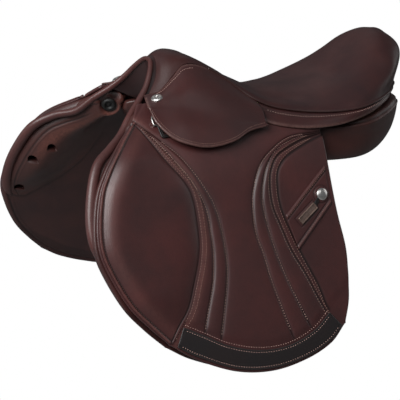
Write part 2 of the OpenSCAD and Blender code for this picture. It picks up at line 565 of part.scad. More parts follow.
module panel() color(dark) skin([for (i = [0 : panel_n]) let (
  x = cr([for (r = panel_ribs) [r[0]]], i / panel_n)[0],
  pts = [for (j = [0 : 4]) cr([for (r = panel_ribs) r[1][j]], i / panel_n)])
  [for (k = [0 : 11]) let (q = ring(pts, k)) [x, q[0], q[1]]]]);
module panel_left() left() panel();
module panel_right() panel();

// ---------- stirrup bar and catch ----------
bar_x = -140;
bar_v = 80;
bar_n = skirt_room / 2 - bar_t / 2 + 0.3;
pin_x = bar_l / 2 - bar_w / 2;
foot_t = 4;
foot_l = 26;
// Outermost point of the rail's section at place i along it, as [y, z]
function rail_out(i) = let (p = rail_pt(i), t = rail_pt(i + 1) - p, a = rail_side(p, t / norm(t)))
  [p[1] - a[1] * rail_w / 2 + 0.35 * rail_t * a[2], p[2] - a[2] * rail_w / 2];
// Point u down the slope from the bar's middle and w out from its inner face, as [y, z]
function bar_pt(u, w) = let (o = on(bar_x, bar_v, bar_n), a = lookup(bar_v, slope))
  [o[1] + u * cos(a) + w * sin(a), o[2] - u * sin(a) + w * cos(a)];
module bar_ends(l, w, t) linear_extrude(t) hull() for (k = [-1, 1])
  translate([k * (l - w) / 2, 0]) circle(d = w);
module stirrup_bar() lay_on(bar_x, bar_v, bar_n) {
  difference() {
    bar_ends(bar_l, bar_w, bar_t);
    translate([pin_x - bar_w, -bar_w, (bar_t - catch_t) / 2 - pin_gap])
      cube([bar_w * 2, bar_w * 2, catch_t + 2 * pin_gap]);
  }
  translate([pin_x, 0, 0]) cylinder(d = pin_d, h = bar_t);
}
// The foot runs over the top of the flap and down the outer side of the rail
module bar_foot() {
  q = rail_out(0.5) + [lay, 0];
  translate([bar_x - bar_l / 2, 0, 0]) rotate([90, 0, 90]) linear_extrude(foot_l)
    polygon([bar_pt(-bar_w / 2, 0), bar_pt(-22, 0), q + [foot_t, 1], q + [foot_t, -8], q + [0, -8],
      q + [0, 4], q + [foot_t, 6], bar_pt(-24, bar_t), bar_pt(bar_w / 2 - 2, bar_t),
      bar_pt(bar_w / 2 - 2, 0)]);
}
module stirrup_bar_right() color(steel) {
  stirrup_bar();
  bar_foot();
}
module stirrup_bar_left() left() stirrup_bar_right();

module bar_catch() color(steel)
  lay_on(bar_x, bar_v, bar_n + (bar_t - catch_t) / 2) translate([pin_x, 0, 0])
    linear_extrude(catch_t) difference() {
      hull() {
        circle(d = bar_w - 1);
        translate([catch_l - 4, 0]) circle(d = 8);
      }
      circle(d = pin_d + 2 * pin_gap);
    }
module bar_catch_left() left() bar_catch();
module bar_catch_right() bar_catch();

// ---------- dee ring and its strap ----------
dee_x = -226;
dee_v = 70;
strap_t = 1.2;
dee_n = wire_d / 2 + pin_gap + strap_t + lay;
module dee() color(steel) lay_on(dee_x, dee_v, dee_n) {
  r = dee_w / 2 + wire_d / 2;
  rotate([0, 90, 0]) cylinder(d = wire_d, h = 2 * r + wire_d, center = true, $fn = 20);
  for (k = [-1, 1]) translate([k * r, 0, 0]) rotate([90, 0, 0])
    cylinder(d = wire_d, h = 8, $fn = 20);
  translate([0, -8, 0]) rotate([0, 0, 180]) rotate_extrude(angle = 180, $fn = 36)
    translate([r, 0]) circle(d = wire_d, $fn = 20);
}
module dee_left() left() dee();
module dee_right() dee();

module dee_strap() color(black) lay_on(dee_x, dee_v, dee_n) {
  r = wire_d / 2 + pin_gap;
  rotate([0, 90, 0]) difference() {
    cylinder(r = r + strap_t, h = 13, center = true);
    cylinder(r = r, h = 20, center = true);
  }
  difference() {
    translate([-6.5, r + 0.2, -strap_t / 2 - 1]) cube([13, 20, strap_t + 1.4]);
    translate([0, 15, 0]) cylinder(d = 4.5, h = 10, center = true, $fn = 20);
  }
}
module dee_strap_left() left() dee_strap();
module dee_strap_right() dee_strap();

tree();
head_plate();
spring_left();
spring_right();
seat_webbing();
seat_foam();
seat_cover();
pommel_facing();
rear_strip();
skirt_top_left();
skirt_top_right();
skirt_left();
skirt_right();
skirt_nails();
stirrup_bar_left();
stirrup_bar_right();
bar_catch_left();
bar_catch_right();
flap_top_left();
flap_top_right();
flap_left();
flap_right();
knee_leaf_left();
knee_leaf_right();
wear_patch_left();
wear_patch_right();
keeper_left();
keeper_right();
keeper_plate_left();
keeper_plate_right();
keeper_stud_left();
keeper_stud_right();
sweat_flap_left();
sweat_flap_right();
knee_block_left();
knee_block_right();
thigh_block_left();
thigh_block_right();
billet_web_left();
billet_web_right();
front_billet_left();
front_billet_right();
middle_billet_left();
middle_billet_right();
rear_billet_left();
rear_billet_right();
girth_guard_left();
girth_guard_right();
front_panel_left();
front_panel_right();
panel_left();
panel_right();
dee_left();
dee_right();
dee_strap_left();
dee_strap_right();
point_studs();
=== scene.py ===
# Close-contact english jumping saddle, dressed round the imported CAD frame.
# Shapes are worked out in mm on the right side (y above 0, the pommel at low x), mostly as heights n over the
# flap's outer face at x along the saddle and v down its side; add_object() turns them into metres.
import math
import bpy
import numpy as np
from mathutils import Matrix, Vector
from mathutils.bvhtree import BVHTree


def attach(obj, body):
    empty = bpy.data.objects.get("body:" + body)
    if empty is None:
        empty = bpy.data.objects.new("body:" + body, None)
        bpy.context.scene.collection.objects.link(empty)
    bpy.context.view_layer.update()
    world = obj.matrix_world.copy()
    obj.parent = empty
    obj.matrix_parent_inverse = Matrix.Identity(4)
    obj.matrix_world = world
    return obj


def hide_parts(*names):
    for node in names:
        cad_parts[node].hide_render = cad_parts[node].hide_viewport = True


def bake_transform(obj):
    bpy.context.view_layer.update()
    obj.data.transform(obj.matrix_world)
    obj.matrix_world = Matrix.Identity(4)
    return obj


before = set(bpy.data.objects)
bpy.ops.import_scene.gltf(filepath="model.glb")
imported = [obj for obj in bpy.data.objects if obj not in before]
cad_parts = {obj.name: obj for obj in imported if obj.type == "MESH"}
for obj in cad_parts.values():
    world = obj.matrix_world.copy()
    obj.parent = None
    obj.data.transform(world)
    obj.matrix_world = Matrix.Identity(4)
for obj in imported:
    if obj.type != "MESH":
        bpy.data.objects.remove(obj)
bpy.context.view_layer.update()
MM = 0.001
SIDES = ("left", "right")
TO_LEFT = np.array([1, -1, 1])

# where things show in the photograph, in its pixels from the top left
PHOTO = 400
IMAGE_POINTS = {
    "left": (2.5, None), "right": (398.3, None), "top": (None, 28.5), "bottom": (None, 371.0),
    "skirt_corner": (145.0, 94.5), "skirt_lowest": (207.0, 148.0), "nail": (156.7, 98.0), "far_stud": (109.0, 102.0),
    "vent_1": (52.0, 148.0), "vent_2": (33.5, 160.0), "vent_3": (19.5, 187.0), "keeper_stud": (320.3, 194.4),
    "keeper_plate": (305.0, 217.0), "leaf_front": (99.0, 225.0), "patch_lowest": (250.0, 366.0), "strap_tab": (160.5, 130.5)}

# ---------------------------------------------------------------- camera
CAM_AZ, CAM_EL = math.radians(-28.8), math.radians(19.0)
CAM_DIST = 2.250
CAM_AIM = Vector((-0.107, 0.0, -0.086))
SENSOR, LENS = 36.0, 125.73
cam_data = bpy.data.cameras.new("camera")
cam_data.sensor_fit = "AUTO"
cam_data.sensor_width = SENSOR
cam_data.lens = LENS
cam_data.clip_end = 30.0
camera = bpy.data.objects.new("camera", cam_data)
bpy.context.scene.collection.objects.link(camera)
back = Vector((math.sin(CAM_AZ) * math.cos(CAM_EL), -math.cos(CAM_AZ) * math.cos(CAM_EL), math.sin(CAM_EL)))
camera.location = CAM_AIM + CAM_DIST * back
camera.rotation_euler = back.to_track_quat("Z", "Y").to_euler()
bpy.context.scene.camera = camera
bpy.context.view_layer.update()

# ---------------------------------------------------------------- the side profile, as in the CAD
SLOPE_V = np.array([-60, 0, 60, 120, 180, 240, 300, 360, 420, 480, 560.0])
SLOPE_A = np.array([24, 33, 42, 55, 67.5, 67, 66, 66, 68, 72, 74.0])
TOP_Y, TOP_Z = 40, 122              # the side's place at v = 0
ROUNDING, REACH = 10.0, 30          # how far the slope's corners are evened out, in steps of 1 mm
DOWN_V = np.arange(SLOPE_V[0], SLOPE_V[-1] + 0.5, 1.0)
kernel = np.exp(-0.5 * (np.arange(-REACH, REACH + 1) / ROUNDING) ** 2)
DOWN_A = np.convolve(np.pad(np.interp(DOWN_V, SLOPE_V, SLOPE_A), REACH, mode="edge"), kernel / kernel.sum(),
                     mode="valid")
between = np.radians((DOWN_A[1:] + DOWN_A[:-1]) / 2)
DOWN_Y = np.concatenate([[0], np.cumsum(np.cos(between))])
DOWN_Z = -np.concatenate([[0], np.cumsum(np.sin(between))])
DOWN_Y += TOP_Y - DOWN_Y[DOWN_V == 0]
DOWN_Z += TOP_Z - DOWN_Z[DOWN_V == 0]

FLARE, FLARE_X = 0.00045, -200      # the front spreads outwards in front of FLARE_X
# a swelling near the front edge: how far out, its middle, its reach and which way
SWELL, SWELL_X, SWELL_V, SWELL_REACH, SWELL_WAY = 10.0, -312, 104, (45, 42), (-0.455, 0.83, 0.33)


def slope(v):
    return np.radians(np.interp(v, DOWN_V, DOWN_A))


def down_and_out(v):
    """Unit vectors down the side and out from it, at v."""
    a = slope(v)
    return (np.stack([0 * a, np.cos(a), -np.sin(a)], -1), np.stack([0 * a, np.sin(a), np.cos(a)], -1))


def on(x, v, n):
    """Point of the right side at x, v down the side, n out from the flap's outer face."""
    x, a = np.asarray(x, float), slope(v)
    far = ((x - SWELL_X) / SWELL_REACH[0]) ** 2 + ((np.asarray(v, float) - SWELL_V) / SWELL_REACH[1]) ** 2
    swell = SWELL * np.exp(-far)
    y = np.interp(v, DOWN_V, DOWN_Y) + FLARE * np.minimum(x - FLARE_X, 0) ** 2 + n * np.sin(a)
    z = np.interp(v, DOWN_V, DOWN_Z) + n * np.cos(a)
    return np.stack(np.broadcast_arrays(*(c + k * swell for c, k in zip((x, y, z), SWELL_WAY))), -1)


# ---------------------------------------------------------------- numbers and curves
def smooth(t):
    """0 to 1 with soft ends, for t from 0 to 1."""
    c = np.clip(t, 0, 1)
    return c * c * (3 - 2 * c)


def mix(a, b, t):
    return a + (b - a) * t


def bell(d, at, wide, power=2):
    """1 where d equals at, gone about 2 * wide from there; a higher power makes a flatter top."""
    return np.exp(-((d - at) / wide) ** power)


def rise(d, reach, power=1.0):
    """0 up to d = 0, then up to 1 over about reach."""
    return 1 - np.exp(-(np.maximum(d, 0) / reach) ** power)


def grid(nu, nw, u=(0, 1), w=(0, 1)):
    """Two grids of numbers, nu by nw: the first runs over u and the second over w."""
    return np.meshgrid(np.linspace(*u, nu), np.linspace(*w, nw), indexing="ij")


def cubic(a, b, c, d, f):
    """The smooth curve from b to c at share f, a and d being the points before and after."""
    return b + 0.5 * f * (c - a + f * (2 * a - 5 * b + 4 * c - d + f * (3 * b - a - 3 * c + d)))


def through(points, t):
    """Smooth curve through points, t from 0 to 1."""
    p = np.asarray(points, float)
    last = len(p) - 1
    s = np.clip(np.asarray(t, float), 0, 0.9999999) * last
    i = np.floor(s).astype(int)
    b, c = p[i], p[i + 1]
    a = np.where((i > 0)[..., None], p[np.maximum(i - 1, 0)], 2 * b - c)
    d = np.where((i + 2 <= last)[..., None], p[np.minimum(i + 2, last)], 2 * c - b)
    return cubic(a, b, c, d, (s - i)[..., None])


def columns(at, known, values):
    """np.interp for each column of values."""
    return np.stack([np.interp(at, known, values[:, k]) for k in range(values.shape[1])], -1)


def lengths(path):
    """Length along a path up to each of its points."""
    return np.concatenate([[0], np.cumsum(np.linalg.norm(np.diff(path, axis=0), axis=1))])


def even(points, n=400):
    """The curve through points, at n places evenly spaced along it."""
    q = through(points, np.linspace(0, 1, n * 3))
    s = lengths(q)
    return columns(np.linspace(0, s[-1], n), s, q)


def along(points, t):
    """The curve through points, by share of its length."""
    q = even(points)
    return columns(t, np.linspace(0, 1, len(q)), q)


def coons(top, low, front, rear, U, W):
    """The patch between four border curves."""
    top, low, front, rear = (np.asarray(p, float) for p in (top, low, front, rear))
    u, w = U[..., None], W[..., None]
    return ((1 - w) * along(top, U) + w * along(low, U) + (1 - u) * along(front, W) + u * along(rear, W)
            - (1 - u) * ((1 - w) * top[0] + w * low[0]) - u * ((1 - w) * top[-1] + w * low[-1]))


def sdist(x, v, curve):
    """Signed distance of x, v from an open curve of [x, v], above 0 on its right-hand side as x grows to
    the right and v grows down; the curve goes on straight past its ends."""
    q = np.stack([np.ravel(x), np.ravel(v)], -1).astype(float)
    c = np.asarray(curve, float)
    c = np.concatenate([[c[0] - (c[1] - c[0]) * 400], c, [c[-1] + (c[-1] - c[-2]) * 400]])
    a, d = c[:-1], np.diff(c, axis=0)
    out = np.empty(len(q))
    step = 6000                     # points at a time, to save memory
    for k in range(0, len(q), step):
        p = q[k:k + step]
        t = np.clip(((p[:, None] - a) * d).sum(2) / (d ** 2).sum(1), 0, 1)
        r = p[:, None] - (a + t[..., None] * d)
        square = (r ** 2).sum(2)
        j, n = square.argmin(1), np.arange(len(p))
        cross = d[j, 0] * r[n, j, 1] - d[j, 1] * r[n, j, 0]
        out[k:k + step] = np.sqrt(square[n, j]) * np.where(cross > 0, -1, 1)
    return out.reshape(np.shape(x))


def unit(vectors):
    return vectors / np.maximum(np.linalg.norm(vectors, axis=-1, keepdims=True), 1e-9)


def grid_normals(g, toward):
    """Normals of a grid of points, on the side that its middle turns toward."""
    n = unit(np.cross(np.gradient(g, axis=0), np.gradient(g, axis=1)))
    return n if n[g.shape[0] // 2, g.shape[1] // 2] @ np.array(toward) > 0 else -n


# ---------------------------------------------------------------- meshes: (verts, faces, marks)
def fix_winding(verts, faces):
    """Turns every face if the closed mesh is inside out."""
    volume = 0.0
    for f in faces:
        for k in range(2, f.shape[1]):
            volume += (verts[f[:, 0]] * np.cross(verts[f[:, k - 1]], verts[f[:, k]])).sum()
    return faces if volume > 0 else [f[:, ::-1] for f in faces]


def grid_faces(nu, nw, start=0):
    i, j = np.meshgrid(np.arange(nu - 1), np.arange(nw - 1), indexing="ij")
    a = (start + i * nw + j).ravel()
    return np.stack([a, a + nw, a + nw + 1, a + 1], 1)


def sheet(outer, inner, marks=None, steps=3, bulge=1.0):
    """Closed solid between two grids of points, its border rounded over steps rings that stand out by bulge
    times half its thickness. marks gives a value for each point of the grid, by name."""
    nu, nw, _ = outer.shape
    i, j = np.arange(nu), np.arange(nw)
    rim = np.concatenate([i * nw, (nu - 1) * nw + j[1:], i[::-1][1:] * nw + nw - 1, j[::-1][1:-1]])
    middle = (outer + inner) / 2
    inward = middle[np.clip(i, 1, nu - 2)][:, np.clip(j, 1, nw - 2)]
    flat_outer, flat_inner = outer.reshape(-1, 3), inner.reshape(-1, 3)
    half = (flat_outer[rim] - flat_inner[rim]) / 2
    away = (middle - inward).reshape(-1, 3)[rim]
    away = unit(away - (away * unit(half)).sum(1, keepdims=True) * unit(half))
    away *= np.linalg.norm(half, axis=1, keepdims=True) * bulge
    rings, verts, source = [rim], [flat_outer, flat_inner], [np.arange(nu * nw)] * 2
    for k in range(1, steps + 1):
        turn = math.pi * k / (steps + 1)
        verts.append(middle.reshape(-1, 3)[rim] + half * math.cos(turn) + away * math.sin(turn))
        rings.append(2 * nu * nw + (k - 1) * len(rim) + np.arange(len(rim)))
        source.append(rim)
    rings.append(rim + nu * nw)
    faces = [grid_faces(nu, nw), grid_faces(nu, nw, nu * nw)[:, ::-1]]
    for r0, r1 in zip(rings[:-1], rings[1:]):
        faces.append(np.stack([r0, r1, np.roll(r1, -1), np.roll(r0, -1)], 1))
    verts, source = np.concatenate(verts), np.concatenate(source)
    marks = {k: np.broadcast_to(m, (nu, nw)).ravel()[source] for k, m in (marks or {}).items()}
    return verts, fix_winding(verts, faces), marks


def skin(rings, ends=None):
    """Closed body through rings of points (n, k, 3): ends gives the middle of its first and last cap, and
    without it the last ring meets the first."""
    n, k, _ = rings.shape
    verts, turn = rings.reshape(-1, 3), np.arange(k)
    i, j = np.meshgrid(np.arange(n if ends is None else n - 1), turn, indexing="ij")
    here, there, following = i * k, (i + 1) % n * k, (j + 1) % k
    faces = [np.stack([here + j, there + j, there + following, here + following], -1).reshape(-1, 4)]
    if ends is not None:
        verts, last = np.concatenate([verts, ends]), (n - 1) * k
        faces.append(np.stack([np.full(k, n * k), turn, (turn + 1) % k], 1))
        faces.append(np.stack([np.full(k, n * k + 1), last + (turn + 1) % k, last + turn], 1))
    return verts, fix_winding(verts, faces), {}


def tube(path, radius, closed=False, sides=10):
    """Tube along path (N, 3), its section carried along without a twist."""
    t = np.roll(path, -1, 0) - np.roll(path, 1, 0)
    if not closed:
        t[0], t[-1] = path[1] - path[0], path[-1] - path[-2]
    t = unit(t)
    a, v = np.empty_like(path), np.cross(t[0], [0.3, 0.5, 0.8])
    for i in range(len(path)):
        v = unit(v - (v @ t[i]) * t[i])
        a[i] = v
    turn = np.linspace(0, 2 * math.pi, sides, endpoint=False)[None, :, None]
    rings = path[:, None] + radius * (a[:, None] * np.cos(turn) + np.cross(t, a)[:, None] * np.sin(turn))
    return skin(rings, None if closed else path[[0, -1]])


def lathe(profile, seat, axis, sides=48):
    """A turned body: profile of (radius, height) about the axis through seat."""
    axis = unit(axis)
    across = unit(np.cross(axis, [0, 0, 1.0]))
    turn = np.linspace(0, 2 * math.pi, sides, endpoint=False)[:, None]
    spoke = np.cos(turn) * across + np.sin(turn) * np.cross(axis, across)
    rings = np.stack([seat + h * axis + r * spoke for r, h in profile])
    return skin(rings, [seat + profile[k][1] * axis for k in (0, -1)])


def prism(x, v, n0, n1, outline):
    """A straight body through the side at x, v, from n0 to n1; its outline is given along and down it."""
    ring = outline[:, :1] * [1.0, 0, 0] + outline[:, 1:] * down_and_out(v)[0]
    ends = np.stack([on(x, v, n0), on(x, v, n1)])
    return skin(ends[:, None] + ring, ends + ring.mean(0))


def circle(radius, sides=20):
    turn = np.linspace(0, 2 * math.pi, sides, endpoint=False)
    return radius * np.stack([np.cos(turn), np.sin(turn)], 1)


def merge(parts):
    """One body of several."""
    verts, faces, marks, at = [], [], {}, 0
    for v, fs, ms in parts:
        verts.append(v)
        faces += [f + at for f in fs]
        at += len(v)
        for key, m in ms.items():
            marks.setdefault(key, []).append(m)
    return np.concatenate(verts), faces, {k: np.concatenate(m) for k, m in marks.items()}


def mirrored(solid, side):
    """The right side's solid as it is, or the left side's, its faces turned."""
    verts, faces, marks = solid
    return solid if side == "right" else (verts * TO_LEFT, [f[:, ::-1] for f in faces], marks)


def marked(solid, wear):
    """The solid with the same wear mark all over and no painted crease shade."""
    return solid[0], solid[1], {"groove": np.zeros(len(solid[0])), "wear": np.full(len(solid[0]), wear)}


# one stitch from end to end: share of its length, height and thickness in shares of the thread's
STITCH_RINGS = [(-0.5, -0.55, 0.35), (-0.36, -0.02, 0.85), (0.0, 0.16, 1.0), (0.36, -0.02, 0.85),
                (0.5, -0.55, 0.35)]
STITCH_SIDES, STITCH_SLANT = 6, 0.12


def stitches(path, normals, pitch=4.2, length=1.9, thick=1.3):
    """Thread along path (N, 3) with surface normals (N, 3): one small closed body a stitch."""
    s = lengths(path)
    count = max(int(s[-1] / pitch), 1)
    at = (np.arange(count) + 0.5) * s[-1] / count
    t = unit(columns(at + 0.5, s, path) - columns(at - 0.5, s, path))
    n = columns(at, s, normals)
    n = unit(n - (n * t).sum(1, keepdims=True) * t)
    t = unit(t + np.cross(n, t) * STITCH_SLANT)
    turn = np.arange(STITCH_SIDES) * 2 * math.pi / STITCH_SIDES
    one = np.array([[x * length, math.cos(a) * k * thick / 2, (z + math.sin(a) * k / 2) * thick]
                    for x, z, k in STITCH_RINGS for a in turn])
    verts = columns(at, s, path)[:, None] + sum(
        one[None, :, k, None] * axis[:, None] for k, axis in enumerate((t, np.cross(n, t), n)))
    rows = len(STITCH_RINGS)
    i, j = np.meshgrid(np.arange(rows - 1), np.arange(STITCH_SIDES), indexing="ij")
    a, b = i * STITCH_SIDES + j, i * STITCH_SIDES + (j + 1) % STITCH_SIDES
    sides = np.stack([a, b, b + STITCH_SIDES, a + STITCH_SIDES], -1).reshape(-1, 4)
    e = (rows - 1) * STITCH_SIDES
    caps = [[0, 5, 4, 3], [0, 3, 2, 1], [e, e + 1, e + 2, e + 3], [e, e + 3, e + 4, e + 5]]
    faces = fix_winding(one, [np.concatenate([sides, caps])])[0]
    faces = faces[None] + (np.arange(count) * len(one))[:, None, None]
    return verts.reshape(-1, 3), [faces.reshape(-1, 4)], {}


def add_object(name, solid, material):
    verts, faces, marks = solid
    me = bpy.data.meshes.new(name)
    me.vertices.add(len(verts))
    me.vertices.foreach_set("co", np.ascontiguousarray(verts * MM, np.float32).ravel())
    loops = np.concatenate([f.ravel() for f in faces]).astype(np.int32)
    totals = np.concatenate([np.full(len(f), f.shape[1], np.int32) for f in faces])
    me.loops.add(len(loops))
    me.loops.foreach_set("vertex_index", loops)
    me.polygons.add(len(totals))
    me.polygons.foreach_set("loop_start", np.concatenate([[0], np.cumsum(totals)[:-1]]).astype(np.int32))
    me.polygons.foreach_set("loop_total", totals)
    me.polygons.foreach_set("use_smooth", np.ones(len(totals), bool))
    for key, values in marks.items():
        mark = me.attributes.new(key, "FLOAT", "POINT")
        mark.data.foreach_set("value", np.ascontiguousarray(values, np.float32))
    me.update(calc_edges=True)
    me.validate()
    me.materials.append(material)
    ob = bpy.data.objects.new(name, me)
    bpy.context.scene.collection.objects.link(ob)
    return ob


# ---------------------------------------------------------------- placing
def tree_of(*grids):
    """A search tree over grids of points."""
    verts = np.concatenate([g.reshape(-1, 3) for g in grids])
    starts = np.cumsum([0] + [g.shape[0] * g.shape[1] for g in grids])
    faces = np.concatenate([grid_faces(*g.shape[:2], start) for g, start in zip(grids, starts)])
    return BVHTree.FromPolygons(verts.tolist(), faces.tolist())


def place(point, tree):
    """Where the image point meets what tree holds: the place and its normal, in mm."""
    x, y = point
    c = camera.data
    ray = Vector((x - PHOTO / 2 + c.shift_x * PHOTO, PHOTO / 2 - y + c.shift_y * PHOTO,
                  -PHOTO * c.lens / c.sensor_width))
    start = camera.matrix_world.translation / MM
    ray = (camera.matrix_world.to_3x3() @ ray).normalized()
    where, normal, _, _ = tree.ray_cast(start, ray)
    if where is None:
        reach = CAM_DIST / MM
        stops = [start + ray * s for s in np.linspace(reach * 0.7, reach * 1.3, 151)]
        where, normal = min(((*tree.find_nearest(stop)[:2], stop) for stop in stops),
                            key=lambda found: (found[0] - found[2]).length)[:2]
    return np.array(where), np.array(normal if normal.dot(ray) < 0 else -normal)


# ---------------------------------------------------------------- pieces
def on_saddle(ob, side):
    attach(ob, "saddle")


def with_part(part):
    """Makes a piece ride on its side's moving part."""
    return lambda ob, side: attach(ob, side + "_" + part)


def bends(ob, side, part, start, end):
    """Bakes the piece's transform into its mesh; side, part and the two points start and end are not used."""
    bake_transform(ob)


def cut(ob, bodies):
    """Cuts closed bodies out of ob."""
    tool = add_object("cutter", merge(bodies), M_WELT)
    mod = ob.modifiers.new("cut", "BOOLEAN")
    mod.operation, mod.solver, mod.object = "DIFFERENCE", "MANIFOLD", tool
    me = bpy.data.meshes.new_from_object(ob.evaluated_get(bpy.context.evaluated_depsgraph_get()))
    ob.modifiers.clear()
    old, ob.data = ob.data, me
    bpy.data.meshes.remove(old)
    bpy.data.objects.remove(tool, do_unlink=True)


def single(name, solid, material, nodes=()):
    """A piece of the saddle's body that stands for the CAD nodes named."""
    ob = add_object(name, solid, material)
    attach(ob, "saddle")
    if nodes:
        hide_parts(*nodes)


def pair(name, solid, material, carry=on_saddle, nodes=(), fill=None, holes=()):
    """The piece on both sides, from the right side's solid. {} in a node's name stands for the side."""
    for side in SIDES:
        ob = add_object(side + "_" + name, mirrored(solid, side), material)
        if holes:
            cut(ob, [mirrored(hole, side) for hole in holes])
        carry(ob, side)
        if nodes:
            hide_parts(*(node.format(side) for node in nodes))


# ---------------------------------------------------------------- materials
def srgb(*levels):
    return (*(c / 255 / 12.92 if c <= 10 else ((c / 255 + 0.055) / 1.055) ** 2.4 for c in levels), 1.0)


def node_material(name):
    """A new material with its node tree, its shader and the object's own coordinates."""
    m = bpy.data.materials.new(name)
    m.use_nodes = True
    nt = m.node_tree
    nt.nodes.clear()
    shader = nt.nodes.new("ShaderNodeBsdfPrincipled")
    nt.links.new(shader.outputs[0], nt.nodes.new("ShaderNodeOutputMaterial").inputs[0])
    return m, nt, shader, nt.nodes.new("ShaderNodeTexCoord").outputs["Object"]


def plug(nt, value, socket):
    if hasattr(value, "node"):
        nt.links.new(value, socket)
    else:
        socket.default_value = value


def add(nt, kind, *inputs, **values):
    """A new node, its first inputs given in order and the rest of its settings by name."""
    n = nt.nodes.new(kind)
    for key, value in values.items():
        if hasattr(n, key) and key not in n.inputs:
            setattr(n, key, value)
        else:
            plug(nt, value, n.inputs[key])
    for value, socket in zip(inputs, n.inputs):
        plug(nt, value, socket)
    return n


def noise(nt, coords, scale, detail, roughness):
    how = {"Vector": coords, "Scale": scale, "Detail": detail, "Roughness": roughness}
    return add(nt, "ShaderNodeTexNoise", **how).outputs[0]


def ramp(nt, fac, lo, hi, top=1.0):
    r = add(nt, "ShaderNodeValToRGB", fac)
    for element, at, level in zip(r.color_ramp.elements, (lo, hi), (0.0, top)):
        element.position, element.color = at, (level, level, level, 1)
    return r.outputs[0]


def mixed(nt, fac, a, b):
    n = add(nt, "ShaderNodeMix", data_type="RGBA", blend_type="MIX")
    for value, k in ((fac, 0), (a, 6), (b, 7)):
        plug(nt, value, n.inputs[k])
    return n.outputs[2]


def calc(nt, operation, *terms, clamp=False):
    return add(nt, "ShaderNodeMath", *terms, operation=operation, use_clamp=clamp).outputs[0]


def attribute(nt, name):
    return add(nt, "ShaderNodeAttribute", attribute_name=name).outputs["Fac"]


def set_roughness(nt, shader, fac, low, high):
    """Roughness from low to high as fac goes through its middle."""
    plug(nt, add(nt, "ShaderNodeMapRange", fac, 0.3, 0.7, low, high).outputs[0], shader.inputs["Roughness"])


def set_relief(nt, shader, height, strength, distance):
    bump = add(nt, "ShaderNodeBump", Strength=strength, Distance=distance, Height=height)
    plug(nt, bump.outputs[0], shader.inputs["Normal"])


def leather(name, base, deep, worn, rough=0.42, grain=1.0, coat=0.12, tint=None, shine=0.5):
    """Grained leather: colour drifts between base and deep, turns to its lighter colour where real wear and painted
    highlight are marked and to tint where the tint mark is, and is painted darker as shade in creases and recesses;
    the grain is a fine cell pattern."""
    m, nt, shader, coords = node_material(name)
    base, deep, worn = srgb(*base), srgb(*deep), srgb(*worn)
    drift, fine = noise(nt, coords, 14.0, 5.0, 0.6), noise(nt, coords, 260.0, 4.0, 0.65)
    big, small = (add(nt, "ShaderNodeTexVoronoi", Vector=coords, Scale=scale).outputs["Distance"]
                  for scale in (620.0, 1500.0))
    colour = mixed(nt, ramp(nt, drift, 0.32, 0.68), base, deep)
    colour = mixed(nt, ramp(nt, fine, 0.42, 0.75, 0.35), colour, deep)
    if tint:
        colour = mixed(nt, attribute(nt, "tint"), colour, srgb(*tint))
    patchy = calc(nt, "MULTIPLY_ADD", fine, 1.1, -0.25)
    # real wear and painted highlight: the colour turns lighter where they are marked
    colour = mixed(nt, calc(nt, "MULTIPLY", attribute(nt, "wear"), patchy, clamp=True), colour, worn)
    # painted shade: the colour darkens towards a quarter of deep in creases and recesses
    colour = mixed(nt, attribute(nt, "groove"), colour, (*(c * 0.25 for c in deep[:3]), 1))
    plug(nt, colour, shader.inputs["Base Color"])
    set_roughness(nt, shader, drift, rough - 0.05, rough + 0.08)
    for key, value in (("IOR", 1.45), ("Specular IOR Level", shine), ("Coat Weight", coat),
                       ("Coat Roughness", 0.3)):
        shader.inputs[key].default_value = value
    set_relief(nt, shader, calc(nt, "MULTIPLY_ADD", small, 0.4, big), 0.22 * grain, 0.0006)
    return m


def metal(name, base, tint, rough=0.25, scratch=0.5, metallic=1.0):
    """Metal with patches of two tones and fine scratches."""
    m, nt, shader, coords = node_material(name)
    patches = noise(nt, coords, 90.0, 5.0, 0.7)
    plug(nt, mixed(nt, ramp(nt, patches, 0.35, 0.7), base, tint), shader.inputs["Base Color"])
    set_roughness(nt, shader, patches, rough, rough + 0.2 * scratch)
    shader.inputs["Metallic"].default_value = metallic
    set_relief(nt, shader, noise(nt, coords, 900.0, 3.0, 0.6), 0.12 * scratch, 0.0003)
    return m


def plain(name, base, tint, rough, scale, bump, fine_scale, stretch=None, sheen=0.0):
    """Wood, foam, webbing, rubber, thread: two tones of noise and a fine relief."""
    m, nt, shader, coords = node_material(name)
    if stretch:
        coords = add(nt, "ShaderNodeMapping", Vector=coords, Scale=stretch).outputs[0]
    tones = ramp(nt, noise(nt, coords, scale, 6.0, 0.6), 0.3, 0.7)
    plug(nt, mixed(nt, tones, srgb(*base), srgb(*tint)), shader.inputs["Base Color"])
    shader.inputs["Roughness"].default_value = rough
    shader.inputs["Sheen Weight"].default_value = sheen
    set_relief(nt, shader, noise(nt, coords, fine_scale, 3.0, 0.6), bump, 0.0006)
    return m


def grey(level, blue=0.0):
    return (level, level, level + blue, 1)


M_FLAP = leather("flap_leather", (72, 39, 38), (54, 30, 30), (140, 92, 84))
M_SEAT = leather("seat_leather", (60, 35, 34), (44, 27, 28), (120, 84, 78), 0.44, 0.5, 0.04,
                 tint=(54, 27, 25), shine=0.33)
M_SKIRT = leather("skirt_leather", (64, 35, 34), (48, 28, 28), (136, 104, 96), 0.36, 0.5)
M_FRONT = leather("pommel_leather", (74, 40, 38), (54, 30, 30), (140, 92, 84), 0.4, 0.7)
M_LINING = leather("lining_leather", (70, 37, 34), (50, 29, 29), (134, 88, 78))
M_PANEL = leather("panel_leather", (70, 37, 33), (50, 28, 26), (142, 88, 76), 0.4)
M_PATCH = leather("patch_leather", (38, 31, 31), (28, 25, 26), (74, 62, 60), 0.44, 0.5)
M_WELT = leather("welt_leather", (46, 26, 26), (32, 19, 19), (110, 72, 66), 0.38, 0.5)
M_BILLET = leather("billet_leather", (86, 52, 44), (66, 40, 36), (140, 100, 86), 0.5)
M_BLACK = leather("black_leather", (26, 22, 22), (18, 15, 15), (70, 60, 58), 0.45, 0.6)
